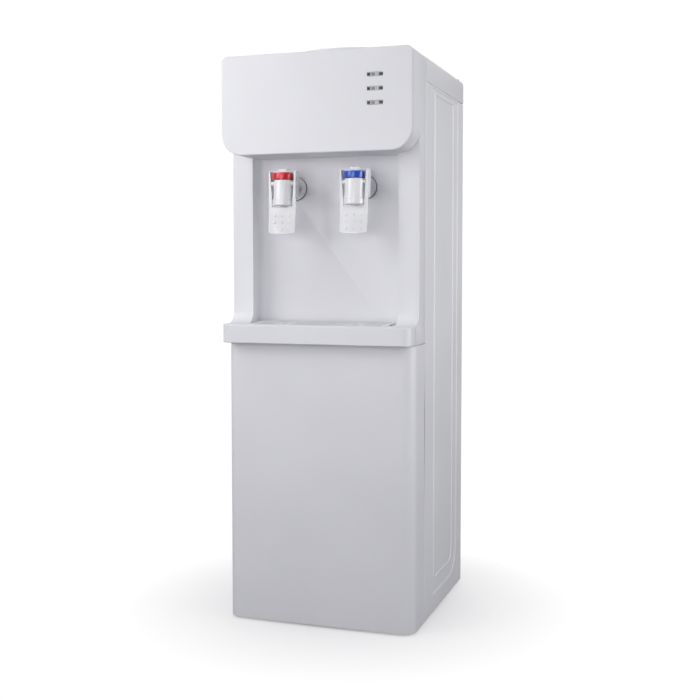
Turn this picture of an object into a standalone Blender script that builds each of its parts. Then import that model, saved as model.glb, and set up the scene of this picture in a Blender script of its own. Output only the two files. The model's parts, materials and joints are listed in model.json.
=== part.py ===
"""Floor-standing hot and cold water dispenser for an upturned bottle.

Metres, +Z up, origin on the floor at the centre of the footprint, front towards -Y.
Depths are given as distances behind the face of the head, by back().
"""

import math

import bmesh
import bpy
from mathutils import Matrix, Vector

# Overall sizes
WIDTH = 0.332
DEPTH = 0.364  # face of the head to the rear edges of the steel sides
DECK_Z = 0.960
LEDGE_PROUD = 0.011  # the drip ledge stands this far ahead of the head

# Clearances
GAP = 0.0003  # between pieces that touch
SEAM = 0.0006  # joint lines that show
RUNNING = 0.0006  # round a piece that moves

# Stock
WALL = 0.003  # plastic mouldings
SHEET = 0.0012  # steel sheet

# Head
HEAD_HEIGHT = 0.165
HEAD_OVERHANG = 0.046  # face of the head to the face of the columns
FASCIA_THICK = 0.004
HEAD_CORNER = 0.036
TOP_CORNER = 0.010
LENS_WIDTH = 0.026
LENS_HEIGHT = 0.006
LENS_PITCH = 0.0225
LENS_SIDE = 0.104  # lens centre to the centre of the head
LENS_DROP = 0.043  # deck to the top lens

# Cup bay
COLUMN_WIDTH = 0.036
BAY_BACK = 0.079  # face of the head to the back of the bay
BAY_CORNER = 0.010
FLARE = 0.021  # the columns sweep forward at their feet
SIDES_START = 0.088  # face of the head to the front edges of the steel sides

# Drip ledge
LEDGE_TOP_Z = 0.512
LEDGE_HEIGHT = 0.031
LEDGE_CORNER = 0.017
LEDGE_SIDE = 0.0252  # face of the head to the ledge's side seam
TRAY_FLOOR = 0.0025
TRAY_RIM = 0.007
GRILLE_THICK = 0.0025
GRILLE_MARGIN = 0.010
SLOT_WIDTH = 0.004
SLOT_PITCH = 0.010
DRAIN_HOLE = 0.007

# Lower panel
PANEL_SETBACK = 0.015
PANEL_CORNER = 0.023
PANEL_WALL = 0.0025
SKIRT_CLEAR = 0.003  # skirts to the floor

# Steel case
SIDE_TOP = 0.043  # deck to the top edges of the steel sides
FLANGE = 0.012
REAR_INSET = 0.030
REAR_START_Z = 0.235
PAN_RIM = 0.010
FOOT_HEIGHT = 0.012
FOOT_RADIUS = 0.014
FOOT_INSET = 0.034

# Bottle seat
BOTTLE_BACK = (DEPTH + SIDES_START) / 2  # face of the head to the bottle's axis
COLLAR_RADIUS = (DEPTH - SIDES_START) / 2 - 0.008
COLLAR_BORE = COLLAR_RADIUS - 0.038
COLLAR_RISE = 0.023
THROAT = COLLAR_BORE - 0.030  # hole in the deck
NECK = 0.030  # sleeve that the bottle's neck drops into

# Tanks
COLD_RADIUS = DEPTH - REAR_INSET - BOTTLE_BACK - 0.036
COLD_HEIGHT = 0.135
COLD_BASE_Z = 0.776
FOAM = 0.020
COIL_TUBE = 0.003
COIL_TURNS = 4
COIL_STEPS = 18
COIL_EXIT = math.radians(140)  # where the coil's tail goes down, clear of the hot tank
SHELF_Z = 0.746
HOT_RADIUS = BOTTLE_BACK - BAY_BACK - 0.097
HOT_HEIGHT = 0.140
HOT_SIDE = -0.060
HOT_BACK = BOTTLE_BACK - 0.021
PORT = 0.005
HOSE = 0.0055

# Cooling
CAN_RADIUS = 0.066
CAN_HEIGHT = 0.150
CAN_SIDE = 0.020
CAN_BACK = DEPTH - 0.109
CONDENSER_LEFT = -0.146
CONDENSER_RIGHT = 0.082
CONDENSER_LOW_Z = 0.290
CONDENSER_ROWS = 13
CONDENSER_PITCH = 0.045
CONDENSER_TUBE = 0.0028
PIPE = 0.003
DRIER_RADIUS = 0.010

# Switches and inlet on the rear panel
SERVICE_SIDE = 0.122
SWITCH_Z = 0.800
SWITCH_PITCH = 0.032
ROCKER_WIDTH = 0.014
ROCKER_HEIGHT = 0.021
ROCKER_TIP = math.radians(8)
INLET_Z = 0.300
DRAIN_Z = 0.262
DRAIN_SIDE = -0.020

# Taps
TAP_SPACING = 0.126
TAP_BACK = 0.0216  # face of the head to the tap's axis
SHANK_Z = 0.743
BARREL_RADIUS = 0.0165
BARREL_RISE = 0.010  # shank axis to the barrel's top
BARREL_DROP = 0.034  # shank axis to the nozzle
BARREL_BORE = 0.0105
NOZZLE_BORE = 0.0045
RING_RADIUS = 0.0172
RING_HEIGHT = 0.0117
SHANK_RADIUS = 0.009
TAIL_RADIUS = 0.0055
TAIL_LENGTH = 0.024
ESCUTCHEON_RADIUS = 0.0197
NUT_THICK = 0.006
STEM_RADIUS = 0.0025
SEAL_RADIUS = 0.0085
SPRING_TURNS = 5
WIRE = 0.0006
LEVER_WIDTH = 2 * BARREL_RADIUS + 0.015
LEVER_RISE = 0.0256  # shank axis to the lever's top
LEVER_DROP = 0.080  # shank axis to the paddle's foot
LEVER_PLATE = 0.0025
LEVER_FRONT = 0.006  # lever face ahead of the tap's axis
LEVER_LEAN = math.radians(6.5)
ARM_THICK = 0.0021
ARM_DEPTH = 0.017
PIVOT_AHEAD = 0.003  # pivot ahead of the tap's axis
PIVOT_RISE = 0.0045
PIVOT_RADIUS = 0.002

HALF = WIDTH / 2
FACE_Y = -(DEPTH - LEDGE_PROUD) / 2
HEAD_Z = DECK_Z - HEAD_HEIGHT
STEEL_TOP_Z = DECK_Z - SIDE_TOP
BAY_HALF = HALF - COLUMN_WIDTH
LEDGE_Z = LEDGE_TOP_Z - LEDGE_HEIGHT
PAN_Z = FOOT_HEIGHT + GAP

COLOURS = {
    "white_abs": ((0.80, 0.80, 0.83), 0.38, 0.0),
    "white_steel": ((0.76, 0.76, 0.79), 0.32, 0.0),
    "tap_white": ((0.86, 0.86, 0.88), 0.28, 0.0),
    "hot_red": ((0.75, 0.01, 0.03), 0.30, 0.0),
    "cold_blue": ((0.01, 0.05, 0.60), 0.30, 0.0),
    "lens": ((0.10, 0.10, 0.11), 0.25, 0.0),
    "circuit_board": ((0.02, 0.16, 0.06), 0.50, 0.0),
    "stainless": ((0.62, 0.62, 0.63), 0.28, 1.0),
    "copper": ((0.72, 0.34, 0.20), 0.30, 1.0),
    "black_paint": ((0.015, 0.015, 0.017), 0.45, 0.0),
    "galvanised": ((0.55, 0.56, 0.58), 0.42, 1.0),
    "foam": ((0.85, 0.82, 0.72), 0.90, 0.0),
    "silicone": ((0.78, 0.78, 0.76), 0.55, 0.0),
    "rubber": ((0.03, 0.03, 0.03), 0.80, 0.0),
    "brass": ((0.72, 0.55, 0.25), 0.30, 1.0),
    "black_plastic": ((0.02, 0.02, 0.02), 0.40, 0.0),
    "switch_red": ((0.60, 0.02, 0.02), 0.30, 0.0),
    "switch_green": ((0.02, 0.40, 0.08), 0.30, 0.0),
}


def back(distance):
    """The Y of a point this far behind the face of the head."""
    return FACE_Y + distance


# ---------------------------------------------------------------- helpers


def clear_scene():
    for old in list(bpy.data.objects):
        bpy.data.objects.remove(old, do_unlink=True)


def material(name):
    """A Principled material, made once."""
    found = bpy.data.materials.get(name)
    if found:
        return found
    colour, roughness, metallic = COLOURS[name]
    made = bpy.data.materials.new(name)
    made.use_nodes = True
    shader = made.node_tree.nodes["Principled BSDF"]
    shader.inputs["Base Color"].default_value = (*colour, 1.0)
    shader.inputs["Roughness"].default_value = roughness
    shader.inputs["Metallic"].default_value = metallic
    made.diffuse_color = (*colour, 1.0)
    return made


def solid(name, bm, slot, smooth=False, pivot=None):
    """An object from a closed bmesh. pivot puts its origin on a joint's axis."""
    bmesh.ops.recalc_face_normals(bm, faces=bm.faces)
    if pivot:
        bmesh.ops.translate(bm, verts=bm.verts, vec=-Vector(pivot))
    mesh = bpy.data.meshes.new(name)
    bm.to_mesh(mesh)
    bm.free()
    mesh.materials.append(material(slot))
    made = bpy.data.objects.new(name, mesh)
    if pivot:
        made.location = pivot
    bpy.context.scene.collection.objects.link(made)
    if smooth:
        mesh.shade_smooth()
        mesh.set_sharp_from_angle(angle=math.radians(35))
    return made


def combine(target, operation, *others):
    """Boolean modifiers that keep their operands as hidden helpers."""
    for other in others:
        modifier = target.modifiers.new(f"{operation.lower()}_{other.name}", "BOOLEAN")
        modifier.operation = operation
        modifier.object = other
        modifier.solver = "EXACT"
        other.hide_render = True
        other.display_type = "WIRE"
    return target


def cut(target, *others):
    return combine(target, "DIFFERENCE", *others)


def join(target, *others):
    return combine(target, "UNION", *others)


def arc(centre, radius, start, end, steps):
    """Points on an arc between two angles in degrees."""
    points = []
    for i in range(steps + 1):
        turn = math.radians(start + (end - start) * i / steps)
        points.append((centre[0] + radius * math.cos(turn), centre[1] + radius * math.sin(turn)))
    return points


def rounded(low, high, radii, steps=6):
    """A rectangle's outline, with corner radii from the low-low corner round by low-high."""
    (u0, v0), (u1, v1) = low, high
    corners = (
        (u0, v0, 1, 1, 180),
        (u1, v0, -1, 1, 270),
        (u1, v1, -1, -1, 0),
        (u0, v1, 1, -1, 90),
    )
    points = []
    for (u, v, du, dv, start), radius in zip(corners, radii):
        if radius <= 0:
            points.append((u, v))
        else:
            centre = (u + du * radius, v + dv * radius)
            points += arc(centre, radius, start, start + 90, steps)
    return points


def prism(outline, axis, low, high):
    """An outline extruded along an axis. Outlines are XY for Z, XZ for Y and YZ for X."""
    place = {
        "X": lambda u, v, w: (w, u, v),
        "Y": lambda u, v, w: (u, w, v),
        "Z": lambda u, v, w: (u, v, w),
    }[axis]
    bm = bmesh.new()
    first = [bm.verts.new(place(u, v, low)) for u, v in outline]
    last = [bm.verts.new(place(u, v, high)) for u, v in outline]
    bm.faces.new(first)
    bm.faces.new(last)
    for i in range(len(outline)):
        j = (i + 1) % len(outline)
        bm.faces.new((first[i], first[j], last[j], last[i]))
    return bm


def block(low, high):
    """A box between two corners."""
    outline = ((low[0], low[1]), (high[0], low[1]), (high[0], high[1]), (low[0], high[1]))
    return prism(outline, "Z", low[2], high[2])


def turned(profile, centre, axis="Z", steps=24):
    """A closed (radius, height) profile spun round an axis. Points at radius 0 become poles."""
    bm = bmesh.new()
    rings = []
    for radius, height in profile:
        if radius < 1e-9:
            rings.append([bm.verts.new((0, 0, height))])
            continue
        ring = []
        for i in range(steps):
            turn = 2 * math.pi * i / steps
            ring.append(bm.verts.new((radius * math.cos(turn), radius * math.sin(turn), height)))
        rings.append(ring)
    for a, b in zip(rings, rings[1:] + rings[:1]):
        if len(a) == 1 and len(b) == 1:
            continue
        for i in range(steps):
            j = (i + 1) % steps
            corners = [a[i % len(a)], a[j % len(a)], b[j % len(b)], b[i % len(b)]]
            bm.faces.new(list(dict.fromkeys(corners)))
    turn = {
        "Z": Matrix.Identity(4),
        "Y": Matrix.Rotation(math.radians(-90), 4, "X"),
        "X": Matrix.Rotation(math.radians(90), 4, "Y"),
    }[axis]
    bmesh.ops.transform(bm, matrix=Matrix.Translation(centre) @ turn, verts=bm.verts)
    return bm


def rod(start, end, radius, steps=16):
    """A straight cylinder between two points."""
    start, end = Vector(start), Vector(end)
    length = (end - start).length
    bm = turned(((0, 0), (radius, 0), (radius, length), (0, length)), (0, 0, 0), "Z", steps)
    turn = Vector((0, 0, 1)).rotation_difference(end - start).to_matrix().to_4x4()
    bmesh.ops.transform(bm, matrix=Matrix.Translation(start) @ turn, verts=bm.verts)
    return bm


def smooth_route(points, per_span=4):
    """A smooth curve through a route's points, with its first and last spans straight."""
    points = [Vector(p) for p in points]
    first, last = points[0], points[-1]
    points = points[1:-1]
    ends = [first, *points, last]
    route = [first]
    for a, b, c, d in zip(ends, ends[1:], ends[2:], ends[3:]):
        for i in range(per_span):
            t = i / per_span
            route.append(
                0.5
                * (
                    2 * b
                    + (c - a) * t
                    + (2 * a - 5 * b + 4 * c - d) * t * t
                    + (3 * b - a - 3 * c + d) * t * t * t
                )
            )
    return [*route, points[-1], last]


def tube(name, points, radius, slot, resolution=1):
    """A pipe or hose as a bevelled curve with closed ends."""
    curve = bpy.data.curves.new(name, "CURVE")
    curve.dimensions = "3D"
    curve.bevel_depth = radius
    curve.bevel_resolution = resolution
    curve.use_fill_caps = True
    spline = curve.splines.new("POLY")
    spline.points.add(len(points) - 1)
    for place, point in zip(spline.points, points):
        place.co = (*point, 1)
    curve.materials.append(material(slot))
    made = bpy.data.objects.new(name, curve)
    bpy.context.scene.collection.objects.link(made)
    return made


# ---------------------------------------------------------------- front mouldings


def head_outline(inset=0.0):
    """The head seen from the front, as an XZ outline."""
    bottom = HEAD_CORNER - inset
    top = TOP_CORNER - inset
    low = (-HALF + inset, HEAD_Z + inset)
    high = (HALF - inset, DECK_Z - inset)
    return rounded(low, high, (bottom, bottom, top, top), 8)


def cover_outline(low_z, inset=0.0):
    """A full-width cover seen from the front, round at its top corners only."""
    top = TOP_CORNER - inset
    low = (-HALF + inset, low_z)
    return rounded(low, (HALF - inset, DECK_Z - inset), (0, 0, top, top), 8)


def column_side():
    """The columns seen from the side, with their swept feet, as a YZ outline."""
    rear = back(SIDES_START) - SEAM
    reach = HEAD_OVERHANG - LEDGE_SIDE
    sweep = []
    for i in range(9):
        turn = math.radians(90 - 90 * i / 8)
        y = back(LEDGE_SIDE + reach * math.sin(turn))
        z = LEDGE_TOP_Z + FLARE * (1 - math.cos(turn))
        sweep.append((y, z))
    return [
        (rear, LEDGE_Z),
        (rear, DECK_Z),
        (back(HEAD_OVERHANG), DECK_Z),
        *sweep,
        (back(LEDGE_SIDE), LEDGE_Z),
    ]


def front_housing():
    """Head surround, columns, cup bay and tray shelf, moulded in one."""
    head_front = back(FASCIA_THICK) + SEAM
    rear = back(SIDES_START) - SEAM
    column = back(HEAD_OVERHANG)
    slot = "white_abs"
    body = solid("front_housing", prism(column_side(), "X", -HALF, HALF), slot)
    envelope = prism(cover_outline(LEDGE_Z - WALL), "Y", head_front, rear + WALL)
    combine(body, "INTERSECT", solid("housing_envelope", envelope, slot))
    head = prism(head_outline(), "Y", head_front, column + WALL)
    join(body, solid("head_block", head, slot))
    bay = rounded(
        (-BAY_HALF, back(-LEDGE_PROUD)),
        (BAY_HALF, back(BAY_BACK)),
        (0, 0, BAY_CORNER, BAY_CORNER),
    )
    cut(body, solid("bay_cutter", prism(bay, "Z", LEDGE_Z - WALL, HEAD_Z), slot))
    hollow = prism(head_outline(WALL), "Y", head_front - WALL, rear + WALL)
    cut(body, solid("head_hollow", hollow, slot))
    # Behind the columns and the bay the moulding is an open shell.
    inner = BAY_HALF + WALL
    shell = [
        (-HALF + WALL, rear + WALL),
        (-HALF + WALL, column + WALL),
        (-inner, column + WALL),
        (-inner, back(BAY_BACK) + WALL),
        (inner, back(BAY_BACK) + WALL),
        (inner, column + WALL),
        (HALF - WALL, column + WALL),
        (HALF - WALL, rear + WALL),
    ]
    cut(body, solid("column_hollow", prism(shell, "Z", LEDGE_Z - WALL, DECK_Z - WALL), slot))
    # The tray slides on a shelf that stands inside the lower panel.
    edge = HALF - PANEL_WALL - 2 * GAP
    shelf_front = back(PANEL_SETBACK) + PANEL_WALL + 2 * GAP
    shelf_rear = rear - PANEL_WALL - 2 * GAP
    corner = PANEL_CORNER - PANEL_WALL
    shelf = rounded((-edge, shelf_front), (edge, shelf_rear), (corner, corner, 0, 0))
    join(body, solid("tray_shelf", prism(shelf, "Z", LEDGE_Z - WALL - GAP, LEDGE_Z - GAP), slot))
    for side in (-1, 1):
        low, high = sorted((side * (BAY_HALF + WALL / 2), side * edge))
        corner_low = (low, back(PANEL_SETBACK + PANEL_CORNER), LEDGE_Z - WALL / 2)
        foot = block(corner_low, (high, shelf_rear, LEDGE_Z + WALL))
        join(body, solid(f"column_foot_{side}", foot, slot))
        x = side * TAP_SPACING / 2
        start = (x, back(BAY_BACK) - WALL, SHANK_Z)
        end = (x, back(BAY_BACK) + 2 * WALL, SHANK_Z)
        cut(body, solid(f"shank_hole_{side}", rod(start, end, SHANK_RADIUS + GAP), slot))
    return body


def lens_places():
    """Name and height of each indicator window, top to bottom."""
    names = ("power_lens", "heating_lens", "cooling_lens")
    return [(name, DECK_Z - LENS_DROP - i * LENS_PITCH) for i, name in enumerate(names)]


def head_fascia():
    bm = prism(head_outline(), "Y", back(0), back(FASCIA_THICK))
    front = [e for e in bm.edges if all(abs(v.co.y - back(0)) < 1e-6 for v in e.verts)]
    bmesh.ops.bevel(bm, geom=front, offset=0.0012, segments=2, affect="EDGES", profile=0.5)
    fascia = solid("head_fascia", bm, "white_abs")
    for name, z in lens_places():
        x = LENS_WIDTH / 2 + GAP
        h = LENS_HEIGHT / 2 + GAP
        low = (LENS_SIDE - x, back(0) - WALL, z - h)
        window = block(low, (LENS_SIDE + x, back(FASCIA_THICK) + WALL, z + h))
        cut(fascia, solid(f"{name}_window", window, "white_abs"))
    return fascia


def indicators():
    """The lamp lenses and the small board behind them."""
    board_front = back(FASCIA_THICK) + 0.005
    for name, z in lens_places():
        low = (LENS_SIDE - LENS_WIDTH / 2, back(0) + GAP, z - LENS_HEIGHT / 2)
        high = (LENS_SIDE + LENS_WIDTH / 2, board_front - GAP, z + LENS_HEIGHT / 2)
        solid(name, block(low, high), "lens")
    heights = [z for _, z in lens_places()]
    low = (LENS_SIDE - 0.018, board_front, min(heights) - 0.012)
    high = (LENS_SIDE + 0.018, board_front + 0.0016, max(heights) + 0.012)
    solid("indicator_board", block(low, high), "circuit_board")


def lower_front_panel():
    """A channel seen from above: front, round corners, sides and small rear flanges."""
    front = back(PANEL_SETBACK)
    rear = back(SIDES_START) - SEAM

    def channel(inset):
        radius = PANEL_CORNER - inset
        edge = HALF - inset
        y = front + inset + radius
        left = arc((-edge + radius, y), radius, 180, 270, 8)
        right = arc((edge - radius, y), radius, 270, 360, 8)
        return left + right

    lip = HALF - FLANGE
    outline = [
        (-HALF, rear),
        *channel(0),
        (HALF, rear),
        (lip, rear),
        (lip, rear - PANEL_WALL),
        (HALF - PANEL_WALL, rear - PANEL_WALL),
        *reversed(channel(PANEL_WALL)),
        (-HALF + PANEL_WALL, rear - PANEL_WALL),
        (-lip, rear - PANEL_WALL),
        (-lip, rear),
    ]
    solid("lower_front_panel", prism(outline, "Z", SKIRT_CLEAR, LEDGE_Z - SEAM), "white_abs")


# ---------------------------------------------------------------- drip tray


def tray_outline(inset=0.0):
    """The drip tray from above: a full-width ledge with a tongue that fills the bay."""
    seam = back(LEDGE_SIDE) - SEAM - inset
    front = back(-LEDGE_PROUD) + inset
    radius = LEDGE_CORNER - inset
    edge = HALF - inset
    tongue = BAY_HALF - RUNNING - inset
    rear = back(BAY_BACK) - RUNNING - inset
    corner = BAY_CORNER - inset
    return [
        (-edge, seam),
        *arc((-edge + radius, front + radius), radius, 180, 270, 7),
        *arc((edge - radius, front + radius), radius, 270, 360, 7),
        (edge, seam),
        (tongue, seam),
        *arc((tongue - corner, rear - corner), corner, 0, 90, 4),
        *arc((-tongue + corner, rear - corner), corner, 90, 180, 4),
        (-tongue, seam),
    ]


def grille_box(clear=0.0):
    """The grille's rectangle in its rebate, as low and high corners in X and Y."""
    edge = BAY_HALF - GRILLE_MARGIN + clear
    low = (-edge, back(-LEDGE_PROUD) + GRILLE_MARGIN - clear)
    high = (edge, back(BAY_BACK) - GRILLE_MARGIN + clear)
    return low, high


def drip_tray():
    tray = solid("drip_tray", prism(tray_outline(), "Z", LEDGE_Z, LEDGE_TOP_Z), "white_abs")
    low, high = grille_box(RUNNING)
    rebate_z = LEDGE_TOP_Z - GRILLE_THICK - GAP
    rebate = block((*low, rebate_z), (*high, LEDGE_TOP_Z + WALL))
    cut(tray, solid("grille_rebate", rebate, "white_abs"))
    rim = WALL
    basin_low = (low[0] + rim, low[1] + rim, LEDGE_Z + TRAY_FLOOR)
    basin = block(basin_low, (high[0] - rim, high[1] - rim, LEDGE_TOP_Z))
    cut(tray, solid("tray_basin", basin, "white_abs"))
    # The ends of the ledge are cored out from below.
    for side in (-1, 1):
        inner, outer = sorted((side * (BAY_HALF + WALL), side * (HALF - LEDGE_CORNER / 2)))
        core_low = (inner, back(-LEDGE_PROUD) + LEDGE_CORNER / 2, LEDGE_Z - WALL)
        core = block(core_low, (outer, back(LEDGE_SIDE) - WALL, LEDGE_TOP_Z - WALL))
        cut(tray, solid(f"ledge_core_{side}", core, "white_abs"))


def drip_grille():
    """A flat plate with rows of slots and a round drain hole under each tap."""
    low, high = grille_box()
    z = LEDGE_TOP_Z - GRILLE_THICK
    grille = solid("drip_grille", block((*low, z), (*high, LEDGE_TOP_Z)), "white_abs")
    slots = bmesh.new()
    tap_y = back(TAP_BACK)
    ring = DRAIN_HOLE * 2.2
    rows = int((high[1] - low[1] - SLOT_PITCH) / SLOT_PITCH)
    start_y = (low[1] + high[1]) / 2 - (rows - 1) * SLOT_PITCH / 2
    for row in range(rows):
        y = start_y + row * SLOT_PITCH
        edges = [low[0] + SLOT_PITCH]
        reach = math.sqrt(max(ring * ring - (y - tap_y) ** 2, 0.0))
        if reach > SLOT_WIDTH:
            for x in (-TAP_SPACING / 2, TAP_SPACING / 2):
                edges += [x - reach - SLOT_WIDTH, x + reach + SLOT_WIDTH]
        else:
            edges += [-SLOT_WIDTH / 2, SLOT_WIDTH / 2]
        edges.append(high[0] - SLOT_PITCH)
        for x0, x1 in zip(edges[::2], edges[1::2]):
            piece = block((x0, y - SLOT_WIDTH / 2, z - WALL), (x1, y + SLOT_WIDTH / 2, z + 2 * WALL))
            scratch = bpy.data.meshes.new("slot")
            piece.to_mesh(scratch)
            piece.free()
            slots.from_mesh(scratch)
            bpy.data.meshes.remove(scratch)
    cut(grille, solid("grille_slots", slots, "white_abs"))
    for side in (-1, 1):
        x = side * TAP_SPACING / 2
        hole = rod((x, tap_y, z - WALL), (x, tap_y, z + 2 * WALL), DRAIN_HOLE)
        cut(grille, solid(f"drain_hole_{side}", hole, "white_abs"))


# ---------------------------------------------------------------- steel case


def side_panel(name, side):
    """A folded steel side: sheet with a flange along its front and rear edges."""
    front, rear = back(SIDES_START), back(DEPTH)
    inner = HALF - SHEET
    lip = HALF - FLANGE
    outline = [
        (HALF, front),
        (HALF, rear),
        (lip, rear),
        (lip, rear - SHEET),
        (inner, rear - SHEET),
        (inner, front + SHEET),
        (lip, front + SHEET),
        (lip, front),
    ]
    outline = [(side * x, y) for x, y in outline]
    solid(name, prism(outline, "Z", SKIRT_CLEAR, STEEL_TOP_Z - SEAM), "white_steel")


def base_plate():
    """A shallow pan that ties the sides and carries the compressor and feet."""
    edge = HALF - PANEL_WALL - 3 * GAP
    corner = PANEL_CORNER - PANEL_WALL
    front = back(PANEL_SETBACK) + PANEL_WALL + 2 * GAP
    rear = back(DEPTH) - SHEET - 2 * GAP
    lip = HALF - FLANGE - 2 * GAP
    # Notched round the flanges of the panel and the sides.
    notch = 2 * SHEET + PANEL_WALL + SEAM + 4 * GAP
    middle = back(SIDES_START)
    outline = [
        *arc((-edge + corner, front + corner), corner, 180, 270, 6),
        *arc((edge - corner, front + corner), corner, 270, 360, 6),
        (edge, middle - notch),
        (lip, middle - notch),
        (lip, middle + notch),
        (edge, middle + notch),
        (edge, rear),
        (-edge, rear),
        (-edge, middle + notch),
        (-lip, middle + notch),
        (-lip, middle - notch),
        (-edge, middle - notch),
    ]
    pan = solid("base_plate", prism(outline, "Z", PAN_Z, PAN_Z + PAN_RIM), "galvanised")
    room = rounded(
        (-lip + SHEET, front + SHEET), (lip - SHEET, rear - SHEET), (corner, corner, 0, 0)
    )
    well = prism(room, "Z", PAN_Z + SHEET, PAN_Z + 2 * PAN_RIM)
    cut(pan, solid("pan_well", well, "galvanised"))


def feet():
    """Screw-in rubber feet at the corners of the pan."""
    x = HALF - FOOT_INSET
    low_y, high_y = back(PANEL_SETBACK + FOOT_INSET), back(DEPTH - FOOT_INSET)
    places = {
        "foot_front_left": (-x, low_y),
        "foot_front_right": (x, low_y),
        "foot_rear_left": (-x, high_y),
        "foot_rear_right": (x, high_y),
    }
    profile = (
        (0, 0),
        (FOOT_RADIUS * 0.85, 0),
        (FOOT_RADIUS, FOOT_HEIGHT * 0.25),
        (FOOT_RADIUS * 0.8, FOOT_HEIGHT),
        (0, FOOT_HEIGHT),
    )
    for name, place in places.items():
        solid(name, turned(profile, (*place, 0), steps=20), "rubber", smooth=True)


def rocker_places():
    """Name, colour and height of each rear switch."""
    return (
        ("hot_switch", "switch_red", SWITCH_Z + SWITCH_PITCH / 2),
        ("cold_switch", "switch_green", SWITCH_Z - SWITCH_PITCH / 2),
    )


def rear_panel():
    """A steel sheet set in between the sides, with posts that hold the condenser off it."""
    y = back(DEPTH - REAR_INSET)
    edge = HALF - SHEET - 2 * GAP
    low = (-edge, y, REAR_START_Z)
    panel = solid("rear_panel", block(low, (edge, y + SHEET, STEEL_TOP_Z - SEAM)), "galvanised")
    for row in (1, CONDENSER_ROWS - 2):
        for x in (CONDENSER_LEFT + 0.030, CONDENSER_RIGHT - 0.030):
            z = CONDENSER_LOW_Z + row * CONDENSER_PITCH
            start = (x, y + SHEET / 2, z)
            end = (x, condenser_y() - CONDENSER_TUBE - GAP, z)
            join(panel, solid(f"post_{row}_{x:.3f}", rod(start, end, 0.004, 12), "galvanised"))
    openings = {
        "switch_opening": (SERVICE_SIDE, SWITCH_Z, 0.012, 0.033),
        "inlet_opening": (SERVICE_SIDE, INLET_Z, 0.0140, 0.0105),
    }
    for name, (x, z, half_width, half_height) in openings.items():
        low = (x - half_width, y - WALL, z - half_height)
        high = (x + half_width, y + 2 * WALL, z + half_height)
        cut(panel, solid(name, block(low, high), "galvanised"))
    start = (DRAIN_SIDE, y - WALL, DRAIN_Z)
    end = (DRAIN_SIDE, y + 2 * WALL, DRAIN_Z)
    cut(panel, solid("drain_opening", rod(start, end, HOSE + 2 * GAP), "galvanised"))


def top_deck():
    """The top cover: a shallow cap with the bottle's throat through it."""
    front, rear = back(SIDES_START), back(DEPTH)
    slot = "white_abs"
    deck = solid("top_deck", prism(cover_outline(STEEL_TOP_Z), "Y", front, rear), slot)
    hollow = prism(cover_outline(STEEL_TOP_Z - WALL, WALL), "Y", front - WALL, rear - WALL)
    cut(deck, solid("deck_hollow", hollow, slot))
    # Ribs inside the steel sides keep the cap in place, and an apron closes it at the rear.
    outer = HALF - SHEET - GAP
    inset = back(DEPTH - REAR_INSET)
    for side in (-1, 1):
        low, high = sorted((side * outer, side * (outer - 0.002)))
        rib = block(
            (low, front + 2 * SHEET, STEEL_TOP_Z - 0.008), (high, inset - SHEET, STEEL_TOP_Z + WALL)
        )
        join(deck, solid(f"deck_rib_{side}", rib, slot))
    apron = block(
        (-HALF + WALL / 2, inset, STEEL_TOP_Z), (HALF - WALL / 2, inset + 0.002, DECK_Z - WALL / 2)
    )
    join(deck, solid("deck_apron", apron, slot))
    axis = (0, back(BOTTLE_BACK))
    throat = rod((*axis, DECK_Z - 2 * WALL), (*axis, DECK_Z + WALL), THROAT, 40)
    cut(deck, solid("throat_cutter", throat, slot))


# ---------------------------------------------------------------- bottle seat and tanks


def bottle_collar():
    """A raised ring that steadies the bottle's shoulder: a hollow moulding, open below."""
    z = DECK_Z + GAP
    crown = COLLAR_RADIUS - 0.016
    profile = [(COLLAR_RADIUS, z), *arc((crown, z + COLLAR_RISE - 0.016), 0.016, 0, 90, 4)]
    profile += [(COLLAR_BORE, z + 0.005), (COLLAR_BORE, z), (COLLAR_BORE + 0.0025, z)]
    profile += [(COLLAR_BORE + 0.0025, z + 0.003), (crown - 0.001, z + COLLAR_RISE - 0.0027)]
    inner = arc((crown, z + COLLAR_RISE - 0.016), 0.0135, 90, 0, 3)
    profile += [*inner, (COLLAR_RADIUS - 0.0025, z)]
    axis = (0, back(BOTTLE_BACK), 0)
    solid("bottle_collar", turned(profile, axis, steps=40), "white_abs", smooth=True)


def bottle_funnel():
    """A flanged funnel whose sleeve guides the bottle's neck into the cold tank."""
    z = DECK_Z + GAP
    shoulder = THROAT - 0.004
    profile = (
        (THROAT + 0.012, z),
        (THROAT + 0.012, z + 0.0025),
        (shoulder, z + 0.0025),
        (NECK + 0.002, z - 0.030),
        (NECK, z - 0.036),
        (NECK, z - 0.062),
        (NECK + 0.0025, z - 0.062),
        (NECK + 0.0025, z - 0.034),
        (shoulder + 0.001, z - 0.003),
        (shoulder + 0.0025, z),
    )
    axis = (0, back(BOTTLE_BACK), 0)
    solid("bottle_funnel", turned(profile, axis, steps=32), "tap_white", smooth=True)


def port_places():
    """Ports in the cold tank's base: the cold tap's, and the hot tank's feed."""
    y = back(BOTTLE_BACK)
    reach = COLD_RADIUS * 0.55
    return {"cold_port": (reach, y - reach), "feed_port": (reach * 0.5, y + reach * 0.75)}


def stub(target, name, start, end, slot):
    """A short pipe joined to a tank, with its bore run through into it."""
    start, end = Vector(start), Vector(end)
    ahead = (end - start).normalized()
    join(target, solid(f"{name}_wall", rod(start, end, PORT + 0.0012, 12), slot))
    bore = rod(start - ahead * 0.004, end + ahead * 0.002, PORT, 12)
    return solid(f"{name}_bore", bore, slot)


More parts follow.
